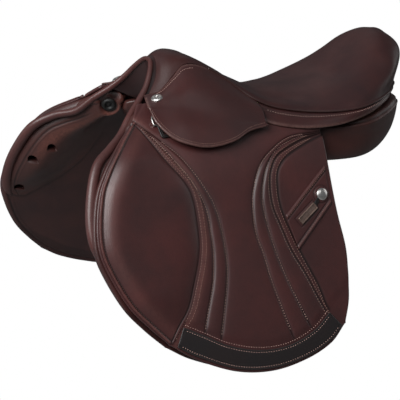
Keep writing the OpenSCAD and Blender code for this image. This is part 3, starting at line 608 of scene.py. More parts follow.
M_TAN = plain("tan_thread", (182, 148, 138), (142, 110, 102), 0.75, 300.0, 0.4, 2500.0)
M_BROWN = plain("brown_thread", (140, 108, 96), (104, 76, 68), 0.75, 300.0, 0.4, 2500.0)
M_DARK = plain("dark_thread", (62, 44, 40), (40, 28, 26), 0.7, 300.0, 0.4, 2500.0)
M_WOOD = plain("tree_wood", (196, 158, 108), (166, 126, 82), 0.55, 22.0, 0.25, 220.0, (1, 6, 6))
M_WEB = plain("webbing", (212, 204, 184), (186, 176, 152), 0.85, 500.0, 0.8, 1400.0, sheen=0.2)
M_FOAM = plain("foam", (222, 212, 160), (206, 192, 136), 0.95, 60.0, 0.6, 1800.0)
M_RUBBER = plain("black_rubber", (15, 14, 14), (9, 9, 9), 0.6, 80.0, 0.2, 700.0)
M_NICKEL = metal("nickel", (0.9, 0.88, 0.85, 1), (0.7, 0.68, 0.65, 1), 0.26, 0.5)
M_BAR = metal("bar_steel", grey(0.6), grey(0.42, 0.01), 0.32, 0.8)
M_DEE = metal("dee_metal", (0.66, 0.65, 0.62, 1), (0.42, 0.4, 0.38, 1), 0.3, 0.6)
M_PLATE = metal("plate_metal", srgb(158, 136, 126), srgb(100, 82, 74), 0.34, 0.8, 0.8)
M_STEEL = metal("tree_steel", grey(0.5, 0.02), grey(0.3, 0.02), 0.38, 1.0)


def on_grid(q, n):
    """The side's points over a grid of [x, v], at height n."""
    return on(q[..., 0], q[..., 1], n)


def side_leather(name, q, top, under, material, groove, wear, steps=3, bulge=1.0, **how):
    """A leather piece on both sides, over the grid q of [x, v] between two heights."""
    marks = {"groove": groove, "wear": wear}
    pair(name, sheet(on_grid(q, top), on_grid(q, under), marks, steps, bulge), material, **how)


# ---------------------------------------------------------------- seams on the side, [x, v]
# rows D to G start at the rear corner and run round and down: right of them is the small rear panel
SEAMS = {
    "A": [(-268, 64), (-262, 72), (-239, 123), (-210, 176), (-209, 238), (-216, 274), (-231, 309),
          (-249, 344), (-269, 365), (-289, 388)],
    "B": [(-249, 84), (-220, 132), (-200, 169), (-188, 207), (-188, 250), (-191, 279), (-200, 315),
          (-219, 359), (-231, 389)],
    "C": [(-234, 96), (-210, 126), (-187, 169), (-173, 205), (-169, 244), (-170, 283), (-175, 311),
          (-186, 346), (-206, 402)],
    "D": [(27, 119), (-22, 121), (-58, 137), (-84, 157), (-102, 188), (-110, 216), (-113, 254),
          (-107, 290), (-103, 327), (-95, 370), (-85, 416)],
    "E": [(27, 121), (-15, 124), (-49, 137), (-71, 157), (-85, 184), (-92, 211), (-91, 246), (-85, 292),
          (-76, 331), (-65, 368), (-52, 407)],
    "F": [(33, 122), (-5, 129), (-47, 144), (-65, 162), (-74, 186), (-76, 221), (-68, 255), (-58, 293),
          (-42, 331), (-24, 382), (-5, 422)],
    "G": [(33, 126), (0, 136), (-35, 150), (-54, 167), (-61, 190), (-62, 227), (-47, 285), (-25, 348),
          (-16, 386), (-2, 418)],
    "front": [(-252, 42), (-271, 61), (-289, 79), (-308, 100), (-333, 127), (-353, 156), (-367, 197),
              (-371, 236), (-362, 273), (-341, 322), (-315, 358), (-289, 388)]}
CURVES = {name: even(seam, 90) for name, seam in SEAMS.items()}
PATCH_TOP = [(-262, 369), (-231, 388), (-195, 410), (-146, 427), (-94, 430), (-47, 417), (-15, 396)]
PATCH_LOW = [(-278, 394), (-248, 415), (-189, 445), (-127, 457), (-67, 452), (-22, 437), (2, 419)]

# ---------------------------------------------------------------- flap
# padded strips from seam to seam with their height, and grooves along seams: depth, width and how dark the painted
# shade in them is
STRIPS = (("A", "B", 2.6), ("B", "C", 2.4), ("D", "E", 2.3), ("E", "F", 2.3))
GROOVES = {"A": (1.6, 2.2, 1.0), "B": (1.2, 2.0, 0.75), "C": (1.2, 2.0, 0.75), "D": (1.2, 2.0, 0.75),
           "E": (1.2, 2.0, 0.75), "F": (1.0, 2.6, 0.75), "G": (1.2, 2.2, 1.0)}
FLAP_THICK, LIES_ON = 4.0, 0.3       # the flap's leather, and how far what lies on it stands off
FOLD = [(-333, 127), (36, 127)]
FOLD_X, FOLD_V = -150, (119, 150)            # where the flap's fold runs: x, and v from and to
DEE_X, DEE_V, DEE_BED = -226, 70, 1.7       # the dee and how deep it lies in the flap


def flap_shape(x, v):
    """Height of the flap's outer face, the painted shade in its grooves, and its lighter band beside seam A."""
    d = {name: sdist(x, v, curve) for name, curve in CURVES.items()}
    low = sdist(x, v, even(PATCH_TOP, 60))
    h, groove = np.zeros(np.shape(x)), np.zeros(np.shape(x))
    for a, b, height in STRIPS:
        share = np.where((d[a] > 0) & (d[b] < 0), d[a] / np.maximum(d[a] - d[b], 1e-6), 0)
        h += height * np.sin(np.pi * share) ** 0.6
    h += 1.9 * rise(np.minimum(d["C"], -d["D"]), 7.0) + 1.0 * rise(d["F"], 5.0)
    for name, (depth, wide, shade) in GROOVES.items():
        line = bell(d[name], 0, wide)
        h -= depth * line
        # painted shade along each groove
        groove = np.maximum(groove, shade * line)
    h *= smooth((low - 1) / 16.0)
    h -= DEE_BED * bell(x, DEE_X, 18.0, 4) * bell(v, DEE_V - 9.0, 19.0, 4)
    h -= 0.5 * bell(d["front"], 0, 2.0)
    return h, groove * smooth((low + 2) / 6.0), 0.5 * bell(d["A"], 10, 6.0)


def flap_grid(nu, n_top, n_low):
    """Grid of [x, v] over the whole flap: above the fold and below it."""
    top = coons([(-248, 29), (-222, 32), (-180, 50), (-100, 66), (-30, 90), (16, 106), (36, 114)], FOLD,
                [(-248, 29), (-260, 47), (-271, 61), (-289, 79), (-308, 100), (-333, 127)],
                [(36, 114), (36, 127)], *grid(nu, n_top))
    low = coons(FOLD, [(-289, 388), (-250, 418), (-189, 448), (-127, 460), (-67, 455), (-20, 440), (10, 416)],
                SEAMS["front"][4:],
                [(36, 127), (33, 178), (33, 246), (36, 300), (32, 338), (24, 382), (10, 416)],
                *grid(nu, n_low))
    return np.concatenate([top, low[:, 1:]], 1)


def on_flap(ob, side):
    """Hands two points of the flap's fold to bends, which only bakes the piece's transform."""
    bends(ob, side, "flap", *(on(FOLD_X, v, 0) for v in FOLD_V))


FLAP = flap_grid(270, 60, 230)
FLAP_H, flap_crease_shade, flap_wear = flap_shape(FLAP[..., 0], FLAP[..., 1])
side_leather("flap_leather", FLAP, FLAP_H, -FLAP_THICK, M_FLAP, flap_crease_shade, flap_wear, carry=on_flap,
             nodes=("flap_{}", "flap_top_{}"))

# ---------------------------------------------------------------- knee leaf
LEAF_FRONT = [(-267, 58), (-289, 80), (-308, 101), (-332, 128), (-351.5, 156), (-365, 197), (-369, 236),
              (-360, 272.5), (-339.5, 321), (-314, 356), (-291, 385)]
LEAF_REAR = [(-263, 63), (-258, 71), (-235, 122), (-206, 176), (-205, 239), (-212.5, 276), (-228, 311),
             (-246, 346), (-266, 368), (-285, 387)]
LEAF_THIN, LEAF_PAD, LEAF_ROW = 1.7, 10.4, 4.6      # its edge, its padding, and how far in it is stitched


def leaf_shape(x, v):
    """As flap_shape, for the padded leaf in front of seam A."""
    front, rear = sdist(x, v, even(LEAF_FRONT, 90)), -sdist(x, v, CURVES["A"])
    ends = smooth((v - 66) / 60.0) * smooth((392 - v) / 80.0)
    h = LEAF_THIN + LEAF_PAD * ends * rise(front - 5.0, 11.0, 1.4) * rise(rear - 0.5, 20.0)
    h += 0.7 * bell(front, 1.8, 1.8) - 0.8 * bell(front, LEAF_ROW, 1.5) - 0.9 * bell(rear, 0, 1.4)
    # painted shade in the stitch groove near the front and in the crease along seam A
    groove = 0.8 * np.maximum(bell(front, LEAF_ROW, 1.4), bell(rear, 0, 1.4))
    # a lighter worn rim along the front edge, and a broad painted highlight about 17 mm in from it
    return h, groove, 0.9 * bell(front, 1.5, 1.6) + 0.25 * bell(front, 17, 8.0)


LEAF = coons([LEAF_FRONT[0], LEAF_REAR[0]], [LEAF_FRONT[-1], LEAF_REAR[-1]], LEAF_FRONT, LEAF_REAR,
             *grid(90, 230))
LEAF_H, leaf_crease_shade, leaf_wear_and_highlight = leaf_shape(LEAF[..., 0], LEAF[..., 1])
side_leather("knee_leaf_leather", LEAF, LEAF_H, LIES_ON, M_FLAP, leaf_crease_shade, leaf_wear_and_highlight, bulge=0.6,
             carry=on_flap, nodes=("knee_leaf_{}",), fill=0.8)

# ---------------------------------------------------------------- wear patch
U, W = grid(190, 34)
PATCH = mix(along(PATCH_TOP, U), along(PATCH_LOW, U), W[..., None])
patch_rim = even(PATCH_TOP + [(0, 412)] + PATCH_LOW[::-1] + [(-274, 382), PATCH_TOP[0]], 220)
in_from_rim = np.abs(sdist(PATCH[..., 0], PATCH[..., 1], patch_rim))
PATCH_THICK, PATCH_LIES_ON, PATCH_ROW = 2.1, 0.25, 3.2
stitch_line = bell(in_from_rim, PATCH_ROW, 0.9)
PATCH_H = PATCH_THICK - 0.45 * stitch_line
# painted shade along the stitch groove; the rim is lighter with wear
side_leather("wear_patch_leather", PATCH, PATCH_H, PATCH_LIES_ON, M_PATCH, 0.5 * stitch_line,
             0.6 * bell(in_from_rim, 0, 1.5), bulge=0.7, carry=on_flap, nodes=("wear_patch_{}",))

# ---------------------------------------------------------------- keeper
KEEP_TOP, KEEP_LOW = [(-57, 238), (-16, 206), (26, 174)], [(-46, 292), (-11, 263), (25, 233)]
KEEP_THICK, STUD_SEAT, PLATE_SEAT = 2.6, 3.1, 2.9
STUD, PLATE = (11, 216), (-20, 241)
PLATE_L, PLATE_W, PLATE_TURN = 38.0, 12.0, math.radians(-32)
ALONG_PLATE = np.array([math.cos(PLATE_TURN), math.sin(PLATE_TURN)])
ACROSS_PLATE = np.array([-math.sin(PLATE_TURN), math.cos(PLATE_TURN)])


def keeper_shape(q):
    """As flap_shape, for the keeper with its beds for the stud and the plate."""
    lines = [sdist(q[..., 0], q[..., 1], even(line, 40)) for line in (KEEP_TOP, KEEP_LOW)]
    border = np.abs(lines).min(0)
    stud = np.hypot(*np.moveaxis(q - STUD, -1, 0))
    plate = np.maximum(np.abs((q - PLATE) @ ALONG_PLATE) - PLATE_L / 2,
                       np.abs((q - PLATE) @ ACROSS_PLATE) - PLATE_W / 2)
    h = KEEP_THICK + 1.3 * bell(border, 2.4, 2.0) - 0.6 * bell(border, 6.4, 1.2)
    h = mix(h, STUD_SEAT, bell(stud, 0, 11.0, 6)) - 0.5 * bell(stud, 13.4, 1.0) + 0.5 * bell(stud, 11.6, 1.1)
    h = np.where(plate < 0.6, PLATE_SEAT, h) - 0.6 * bell(plate, 2.6, 0.8)
    lines = np.max([bell(border, 6.4, 1.1), bell(stud, 13.4, 0.9), bell(plate, 2.6, 0.8)], 0)
    # painted shade along its grooves round the border, the stud and the plate
    return h, 0.7 * lines, 0.4 * bell(border, 2.4, 1.5)


U, W = grid(90, 70)
KEEP = mix(along(KEEP_TOP, U), along(KEEP_LOW, U), W[..., None])
KEEP_H, keep_crease_shade, keep_wear = keeper_shape(KEEP)
side_leather("keeper_leather", KEEP, KEEP_H, LIES_ON, M_FLAP, keep_crease_shade, keep_wear, bulge=0.6,
             carry=with_part("flap"), nodes=("keeper_{}",))

# ---------------------------------------------------------------- seat
# cross sections from pommel to cantle, each from the middle line to the seam
RIBS = np.array([
    [[-190, 0, 163], [-191, 12, 157], [-195, 23, 146], [-204, 34, 131], [-222, 46, 111]],
    [[-184, 0, 166], [-185, 13, 162], [-188, 27, 152], [-193, 39, 138], [-201, 50, 121]],
    [[-174, 0, 168], [-174, 14, 166], [-175, 27, 160], [-176, 38, 151], [-178, 46, 140]],
    [[-160, 0, 167], [-160, 13, 166], [-159, 25, 163], [-158, 35, 159], [-157, 41, 153]],
    [[-140, 0, 159.5], [-138, 13, 159], [-135, 26, 157], [-132, 36, 154], [-130, 43, 149]],
    [[-112, 0, 143], [-107, 16, 141], [-101, 32, 137], [-97, 44, 132], [-94, 52, 126]],
    [[-85, 0, 127], [-82, 20, 125], [-77, 38, 120], [-73, 53, 114], [-71, 62, 107]],
    [[-55, 0, 111], [-54, 24, 109], [-52, 46, 104], [-51, 65, 99], [-51, 76, 92]],
    [[-20, 0, 95], [-20, 29, 93], [-20, 54, 88], [-21, 76, 84], [-22, 86, 79]],
    [[20, 0, 90], [21, 32, 87], [22, 58, 80.5], [21, 83, 76], [20, 97, 70]],
    [[60, 0, 91], [62, 36, 89], [64, 68, 84], [66, 98, 75], [66, 113, 67]],
    [[92, 0, 96], [97, 40, 96], [103, 75, 93], [110, 108, 81], [112, 121, 68.5]],
    [[112, 0, 101], [122, 37, 104], [136, 74, 105], [150, 104, 92], [152, 113, 73.5]],
    [[124, 0, 107], [140, 33, 116], [164, 68, 121], [185, 92, 104], [188, 94, 78]],
    [[129, 0, 110], [157, 27, 128], [191, 55, 142], [214, 75, 121], [211, 71, 80]],
    [[131, 0, 111.5], [168, 14, 136], [209, 29, 157.5], [243, 43, 135], [233, 44, 80]],
    [[132, 0, 112], [171, 0, 138], [217, 0, 163.5], [253, 0, 139], [245, 0, 80]]], float)
SEAT_THICK, SEAT_ROUNDS = 2.5, 260


def across(rows, s):
    """The smooth curve through rows of points (n, ..., 3) at s, counted from the second row: the first and
    the last row only steer it."""
    i = np.floor(s).astype(int)
    a, b, c, d = (np.take_along_axis(rows, (i + k)[None, ..., None], 0)[0] for k in range(4))
    return cubic(a, b, c, d, (s - i)[..., None])


def seat_at(u, w):
    """Point of the seat's outer face on the right: u from pommel to cantle, w from the middle to the seam."""
    u, w = np.broadcast_arrays(np.asarray(u, float), np.asarray(w, float))
    p = [through(RIBS[:, k], u) for k in range(RIBS.shape[1])]
    return across(np.stack([p[1] * TO_LEFT, *p, 2 * p[-1] - p[-2]]), np.clip(w, 0, 0.9999999) * (len(p) - 1))


def relax(g, rounds, keep):
    """Evens out a grid of points without shrinking it; keep (0 to 1) holds each point where it is."""
    for k in range(2 * rounds):
        m = g.copy()
        m[1:-1, 1:-1] = (g[:-2, 1:-1] + g[2:, 1:-1] + g[1:-1, :-2] + g[1:-1, 2:]) / 4
        g = g + (0.66 if k % 2 == 0 else -0.68) * (1 - keep[..., None]) * (m - g)
    return g


half = seat_at(*grid(240, 70))
half[:, 0, 1] = 0.0
SEAT = np.concatenate([(half * TO_LEFT)[:, ::-1], half[:, 1:]], 1)
SEAT[-1, :, 1] = 0.0
U, W = grid(*SEAT.shape[:2], w=(-1, 1))
SEAT_ACROSS = W[0]
free = smooth((1 - np.abs(W)) / 0.25) * smooth((1 - U) / 0.08) * smooth((U - 0.02) / 0.08)
SEAT = relax(SEAT, SEAT_ROUNDS, 1 - free)
SEAT_OUT = grid_normals(SEAT, (0, 0, 1))
SEAT_OUT[-1] = SEAT_OUT[-2]
pommel_tint = 0.8 * smooth((0.235 - U) / 0.05) * smooth((np.abs(W) - 0.25) / 0.35)
cover = sheet(SEAT, SEAT - SEAT_THICK * SEAT_OUT, {"groove": 0, "wear": 0, "tint": pommel_tint})
single("seat_leather", cover, M_SEAT, ("seat_cover",))

# ---------------------------------------------------------------- skirt
HINGE_A, HINGE_B, HINGE_N = np.array([-237.0, 41]), np.array([-62.0, 96]), 13
SKIRT_HEAD = [(-228, 49, 113.5), (-204, 51, 118), (-180, 48, 136), (-159, 43, 150), (-130, 45, 146),
              (-93, 54, 123.5), (-71, 64.5, 104.5), (-52, 78, 89.5)]
SKIRT_LOW = [(-237, 49), (-234, 70), (-217, 98), (-190, 114), (-160, 120), (-122, 116), (-92, 105),
             (-60, 101)]
SKIRT_THICK, SKIRT_FOLD = 3.5, (-3, 9)       # the fold from and to, down from the hinge line


def on_skirt(ob, side):
    """Works out two points square across the hinge line and hands them to bends, which only bakes the piece's
    transform.
    """
    a, b = on(*HINGE_A, HINGE_N), on(*HINGE_B, HINGE_N)
    axis = unit(b - a)
    down = on(*mix(HINGE_A, HINGE_B, 0.5) + [0, 10], HINGE_N) - (a + b) / 2
    down = unit(down - (down @ axis) * axis)
    bends(ob, side, "skirt", *((a + b) / 2 + k * down for k in SKIRT_FOLD))


def skirt_grid(nu, nw, n):
    """Rows from the seat's seam over the hinge line to the lower edge, n above the skirt's inner face."""
    def laid(q):
        return on_grid(q, mix(7.0, 12.0, smooth((q[..., 0] + 232) / 40.0)) + n)
    u = np.linspace(0, 1, nu)
    head = through(SKIRT_HEAD, u) + [0, 0.5 * n - 1.4, 0.85 * n - 1.9]
    hinge, low = mix(HINGE_A, HINGE_B, u[:, None]), through(SKIRT_LOW, u)
    above = mix(head, laid(hinge), 0.5) + np.array([0, 4.0, 4.0]) * smooth(u / 0.16)[:, None]
    rows = np.stack([head, above, laid(hinge), laid(mix(hinge, low, 0.5)), laid(low)])
    return through(rows.reshape(len(rows), -1), np.linspace(0, 1, nw)).reshape(nw, nu, 3).transpose(1, 0, 2)


SKIRT = skirt_grid(170, 90, SKIRT_THICK)
SKIRT_OUT = grid_normals(SKIRT, (0, 0, 1))
# the skirt's edges are lighter: edge leather worn lighter, with a painted highlight along them
skirt_edge_wear_and_highlight = np.zeros(SKIRT.shape[:2])
skirt_edge_wear_and_highlight[:, -2:] = 0.6
skirt_edge_wear_and_highlight[:2, 10:] = 0.7
skirt_edge_wear_and_highlight[:, :2] = 0.4
pair("skirt_leather", sheet(SKIRT, skirt_grid(170, 90, 0.0), {"groove": 0, "wear": skirt_edge_wear_and_highlight}), M_SKIRT,
     on_skirt, ("skirt_{}", "skirt_top_{}"))

# ---------------------------------------------------------------- sweat flap
LINING_N, LINING_DROP, LINING_THICK = -12.0, 7.0, 3.5


def dip(x, v):
    """0 to 1 where the lining lies deeper, to make room for the billets."""
    return smooth((x + 210) / 60) * smooth((v - 90) / 60)


def sweat_n(q):
    return LINING_N - LINING_DROP * dip(q[..., 0], q[..., 1])


SWEAT_TOP = [(-262, 52), (-215, 56), (-150, 62), (-60, 72), (10, 95), (36, 112)]
SWEAT_FRONT = [(-262, 52), (-292, 79), (-335, 125), (-357, 157), (-371, 200), (-375, 238), (-366, 275),
               (-345, 324), (-318, 361), (-291, 391)]
SWEAT_LOW = [(-291, 391), (-252, 418), (-192, 444), (-130, 452), (-70, 448), (-24, 434), (6, 412)]
SWEAT_REAR = [(36, 112), (34, 178), (33, 246), (34, 300), (30, 338), (22, 380), (6, 412)]
SWEAT = coons(SWEAT_TOP, SWEAT_LOW, SWEAT_FRONT, SWEAT_REAR, *grid(170, 170))


def from_line(curve):
    """How far each point of the sweat flap is from a curve."""
    return np.abs(sdist(SWEAT[..., 0], SWEAT[..., 1], curve))


sweat_rim = [even(SWEAT_FRONT, 90), even(SWEAT_LOW, 90)[1:], even(SWEAT_REAR, 60)[::-1][1:]]
rim_d, low_d = from_line(np.concatenate(sweat_rim)), from_line(even(SWEAT_LOW, 60))
inner = -LINING_THICK - 1.8 * bell(rim_d, 3.2, 2.6, 4)
inner += 0.5 * bell(rim_d, 7.2, 1.1) - 0.4 * bell(rim_d, 10.5, 1.2)
lift = 7.0 * bell(from_line(even([(-215, 56), (-240, 53)] + SWEAT_FRONT[:9], 120)), 0, 9.0, 4)
lift *= smooth((350 - SWEAT[..., 1]) / 60)
# painted shade in the grooves near the rim, and a darker band 1 to 24 mm in from the lower edge
sweat_crease_shade = np.maximum(0.8 * bell(rim_d, 7.2, 1.1), 0.35 * bell(rim_d, 12.6, 0.9))
sweat_crease_shade = np.maximum(sweat_crease_shade, 0.45 * smooth((24 - low_d) / 2.0) * smooth((low_d - 1) / 2.0))
SWEAT_OUTER, SWEAT_INNER = (on_grid(SWEAT, sweat_n(SWEAT) + n) for n in (lift, inner))
SWEAT_MARKS = {"groove": sweat_crease_shade, "wear": 0.25 * bell(rim_d, 3.0, 1.6)}

# ---------------------------------------------------------------- front panel
POINT_STUD, STUD_LEAN, STUD_BED = np.array([-238.0, 42.0]), np.array([0.42, 0.5]), 14.0
PAD_FRONT = [(-240, 30), (-262, 50), (-286, 78), (-322, 108), (-347, 141), (-362, 178), (-367, 208),
             (-365, 236), (-356, 256)]
PAD_REAR = [(-203, 36), (-206, 62), (-214, 90), (-219, 120), (-224, 150), (-236, 180), (-258, 208),
            (-290, 233), (-338, 260)]
PAD_GAP, PAD_THICK = 1.25, 22.0     # from the sweat flap's inner face, and how thick its padding gets
U, W = grid(120, 260)
W **= 1.25
PAD = mix(along(PAD_FRONT, W), along(PAD_REAR, W), U[..., None])
stud_d, front_d, rear_d = (np.hypot(*np.moveaxis(PAD - at, -1, 0)) for at in (POINT_STUD, PAD[:1], PAD[-1:]))
rim = smooth((W - 0.12) / 0.1)
ends = smooth(3.2 * (1 - W)) * smooth(0.45 + 3 * W)
thick = 2.0 + PAD_THICK * rise(front_d, 10.0) * smooth((1 - U) / 0.75) * ends
thick -= 1.4 * bell(front_d, 8.5, 1.4) * rim
recess = np.clip(STUD_BED + (PAD - POINT_STUD) @ STUD_LEAN, 2.0, 30.0)
thick = mix(thick, recess, bell(stud_d, 0, 23.0, 4) * smooth(rear_d / 8.0))
thick = np.maximum(thick + 1.0 * bell(stud_d, 17.5, 3.0) - 3.5 * smooth((15.0 - stud_d) / 3.5), 1.5)
# painted shade in the groove along the front and in the stud's recess
pad_crease_shade = np.maximum(0.8 * bell(front_d, 8.5, 1.1) * rim, 0.9 * smooth((13.6 - stud_d) / 2.0))
pad_crease_shade = np.maximum(pad_crease_shade, 0.5 * bell(front_d, 12.0, 0.8) * rim)
base = sweat_n(PAD) - LINING_THICK - PAD_GAP
PAD_OUTER = on_grid(PAD, base + 11.0 * bell(front_d, 0, 17.0, 4) * smooth((0.24 - W) / 0.1))
PAD_INNER = on_grid(PAD, base - thick)
# painted light: a lighter band on the slope about 24 mm in from the front edge, standing for its highlight
PAD_MARKS = {"groove": pad_crease_shade, "wear": 0.9 * bell(front_d, 24, 11.0) * smooth((0.9 - W) / 0.5)}

# the vents of both, half-round with the flat side down, each where its image point meets the lining
VENT_W, VENT_H, VENT_DEPTH = 16.8, 14.2, (-70, -11)
VENT_LEAN = np.array([[1.0, 0.15], [0.09, 1.0]])
turn = np.linspace(0, math.pi, 15)
VENT_RING = np.stack([np.cos(turn) * VENT_W / 2, VENT_H * (0.5 - np.sin(turn) ** 0.8)], 1) @ VENT_LEAN
LINING_XV = np.concatenate([SWEAT.reshape(-1, 2), PAD.reshape(-1, 2)])
LINING_FACE = np.concatenate([SWEAT_INNER.reshape(-1, 3), PAD_INNER.reshape(-1, 3)])
lining_tree = tree_of(SWEAT_INNER, PAD_INNER)
VENTS = []
for key in ("vent_1", "vent_2", "vent_3"):
    where = place(IMAGE_POINTS[key], lining_tree)[0]
    VENTS.append(LINING_XV[np.linalg.norm(LINING_FACE - where, axis=1).argmin()])
VENT_HOLES = [prism(x, v, *VENT_DEPTH, VENT_RING) for x, v in VENTS]
pair("sweat_flap_leather", sheet(SWEAT_OUTER, SWEAT_INNER, SWEAT_MARKS, bulge=0.35), M_LINING,
     nodes=("sweat_flap_{}",), holes=VENT_HOLES)
pair("front_panel_leather", sheet(PAD_OUTER, PAD_INNER, PAD_MARKS, steps=5), M_PANEL,
     nodes=("front_panel_{}",), fill=0.8, holes=VENT_HOLES)

# the rubber stud of the tree's point pocket, set square in the panel's recess
RUBBER_STUD = [(0.05, 2.4), (2.8, 2.3), (3.6, 1.4), (4.4, 1.2), (5.3, 1.9), (6.2, 3.6), (7.7, 4.4),
               (9.4, 4.1), (10.7, 2.8), (11.2, 0.6), (10.5, -1.4), (0.05, -1.4)]
STUD_SINK = 4.7
down, out = down_and_out(POINT_STUD[1])
stud_seat = on_grid(POINT_STUD, sweat_n(POINT_STUD) - LINING_THICK - PAD_GAP - STUD_BED + STUD_SINK)
stud_axis = -out - STUD_LEAN[0] * np.array([1.0, 0, 0]) - STUD_LEAN[1] * down
pair("point_stud", lathe(RUBBER_STUD, stud_seat, stud_axis), M_RUBBER, nodes=("point_studs",))

# ---------------------------------------------------------------- blocks under the flap
U, W = grid(30, 60)
dome = np.maximum(np.sin(np.pi * U) * np.sin(np.pi * W), 0) ** 0.45
# front and rear border, height at the border and in the middle
BLOCKS = (
    ("knee_block", [(-322, 150), (-342, 200), (-343, 245), (-328, 290)],
     [(-296, 150), (-312, 200), (-312, 245), (-300, 290)], 2.0, 6.8),
    ("thigh_block", [(2, 236), (3, 280), (0, 330), (-8, 376)],
     [(24, 236), (26, 280), (20, 330), (6, 376)], 3.0, 13.8))
for kind, front, rear, low, high in BLOCKS:
    q = mix(along(front, W), along(rear, W), U[..., None])
    base = (LINING_N if kind == "knee_block" else sweat_n(q)) + 0.35
    side_leather(kind + "_leather", q, base + mix(low, high, dome), base, M_FLAP, 0, 0.3 * (1 - dome),
                 bulge=0.6, nodes=(kind + "_{}",), fill=0.85)

# ---------------------------------------------------------------- billets
BILLETS = (("front", -130), ("middle", -85), ("rear", -40))
BILLET_HALF, BILLET_THICK, BILLET_TOP, BILLET_END = 12.5, 3.5, 88, 430
BILLET_GAP, BILLET_FOLLOW = 1.0, 0.7         # off the lining, and how much of its drop they follow
HOLES, HOLE_V, HOLE_STEP, HOLE_R, HOLE_DEPTH = 5, 310, 25, 3.0, (-30, 4)
MIDDLE_X = BILLETS[1][1]


def billet_out(x, v):
    """Height of a billet's outer face."""
    return LINING_N + BILLET_GAP + BILLET_THICK - BILLET_FOLLOW * LINING_DROP * dip(x, v)


U, W = grid(17, 171, (-1, 1))
along_v = mix(BILLET_TOP, BILLET_END, W)
edge_d = np.minimum(BILLET_HALF * (1 - np.abs(U)), BILLET_END - along_v)
# a creased line near the edges, with painted shade in it
edge_line = 0.55 * bell(edge_d, 2.6, 0.6)
for name, x in BILLETS:
    out = billet_out(x, along_v)
    q = np.stack([x + BILLET_HALF * U, along_v], -1)
    billet_holes = [prism(x, HOLE_V + HOLE_STEP * k, *HOLE_DEPTH, circle(HOLE_R)) for k in range(HOLES)]
    side_leather(name + "_billet_leather", q, out - 0.25 * edge_line, out - BILLET_THICK, M_BILLET, edge_line,
                 0.6 * bell(edge_d, 0, 1.0), bulge=0.35, carry=with_part(name + "_billet"),
                 nodes=(name + "_billet_{}",), holes=billet_holes)

# ---------------------------------------------------------------- pommel facing and gullet lining
# the roll's middle line and radius from the lower left up to the pommel
ROLL = np.array([
    [*on(-358, 262, -14), 3.0], [*on(-368, 238, -16), 6.6], [*on(-371.5, 206, -17.5), 7.3],
    [*on(-363, 162, -18), 7.3], [*on(-340, 112, -18.5), 6.8], [*on(-309, 86, -19), 6.0],
    [-285, 80, 67, 5.4], [-262, 64, 88, 5.0], [-239, 49, 106, 4.6], [-221, 38, 123, 4.2],
    [-208, 26, 141, 3.8], [-200, 13, 153.5, 3.6], [-198, 0, 157, 3.6]])
ROLL_ALL = np.concatenate([ROLL, ROLL[:-1][::-1] * [1, -1, 1, 1]])
ROLL_TALL, ROLL_TIP = 1.12, 0.015   # its section's height over its width, and the share that rounds off
roll = even(ROLL_ALL, 401)
path = roll[:, :3]
into_tip = np.maximum(np.abs(np.linspace(-0.5, 0.5, len(roll))) - (0.5 - ROLL_TIP), 0) / ROLL_TIP
taper = np.sqrt(np.clip(1 - into_tip ** 2, 0.02, 1))
ahead = unit(np.gradient(path, axis=0))
wide = unit(np.cross(ahead, [-1, 0, 0.4]))
turn = np.linspace(0, 2 * math.pi, 28, endpoint=False)[None, :, None]
section = np.cos(turn) * wide[:, None] + ROLL_TALL * np.sin(turn) * np.cross(ahead, wide)[:, None]
facing = skin(path[:, None] + (roll[:, 3] * taper)[:, None, None] * section, path[[0, -1]])
single("pommel_facing_leather", marked(facing, 0.2), M_FRONT, ("pommel_facing",))

ARCH = np.array([[40, 80], [37, 84], [25, 103], [12.5, 114.5], [0, 119], [-12.5, 114.5], [-25, 103],
                 [-37, 84], [-40, 80]])
ARCH_FRONT, ARCH_BACK, LINING_SHEET = -189.0, -160.0, 1.6
RIM_FROM, RIM_UNDER = 0.004, 1.2    # where the lining meets the seat: share of its length, and how far under it
head = even(ROLL_ALL[8:-8, :3], 90)
arch = along(ARCH, np.linspace(0, 1, len(head)))
front_arch = np.insert(arch, 0, ARCH_FRONT, axis=1)
back_arch = np.insert(arch * [0.98, 1] - [0, 1.0], 0, ARCH_BACK, axis=1)
seat_rim = seat_at(RIM_FROM, np.linspace(1, 0, len(head) // 2)) - [0, 0, RIM_UNDER]
seat_rim = np.concatenate([seat_rim, seat_rim[::-1] * TO_LEFT])


def between_lines(a, b, n):
    """A grid of points with n columns from line a to line b."""
    return mix(a[:, None], b[:, None], np.linspace(0, 1, n)[None, :, None])


lining = np.concatenate([between_lines(seat_rim, head, 8)[:, :-1], between_lines(head, front_arch, 30),
                         between_lines(front_arch, back_arch, 30)[:, 1:]], 1)
single("gullet_lining", sheet(lining, lining - LINING_SHEET * grid_normals(lining, (-1, 0, 0)),
                              {"groove": 0, "wear": 0}), M_WELT)

# ---------------------------------------------------------------- rear strip
STRIP_LOW = [[-54, 113, 66], [-32, 119, 59], [9, 126, 51], [54, 131, 49.5], [91, 131, 52.5], [137, 122, 59.5],
             [178, 104, 69], [204, 80, 73], [226, 55, 72], [241, 28, 71], [247, 0, 71]]
STRIP_HEAD = [[-47, 79, 86.5], [-22, 88, 76], [20, 99, 67], [66, 114, 64], [112, 122, 65.5], [152, 114, 70.5],
              [188, 95, 75], [211, 72, 77], [233, 45, 77], [245, 0, 77]]
STRIP_THICK, STRIP_ROW = 2.6, 0.40  # and where its stitching runs, from the seam down


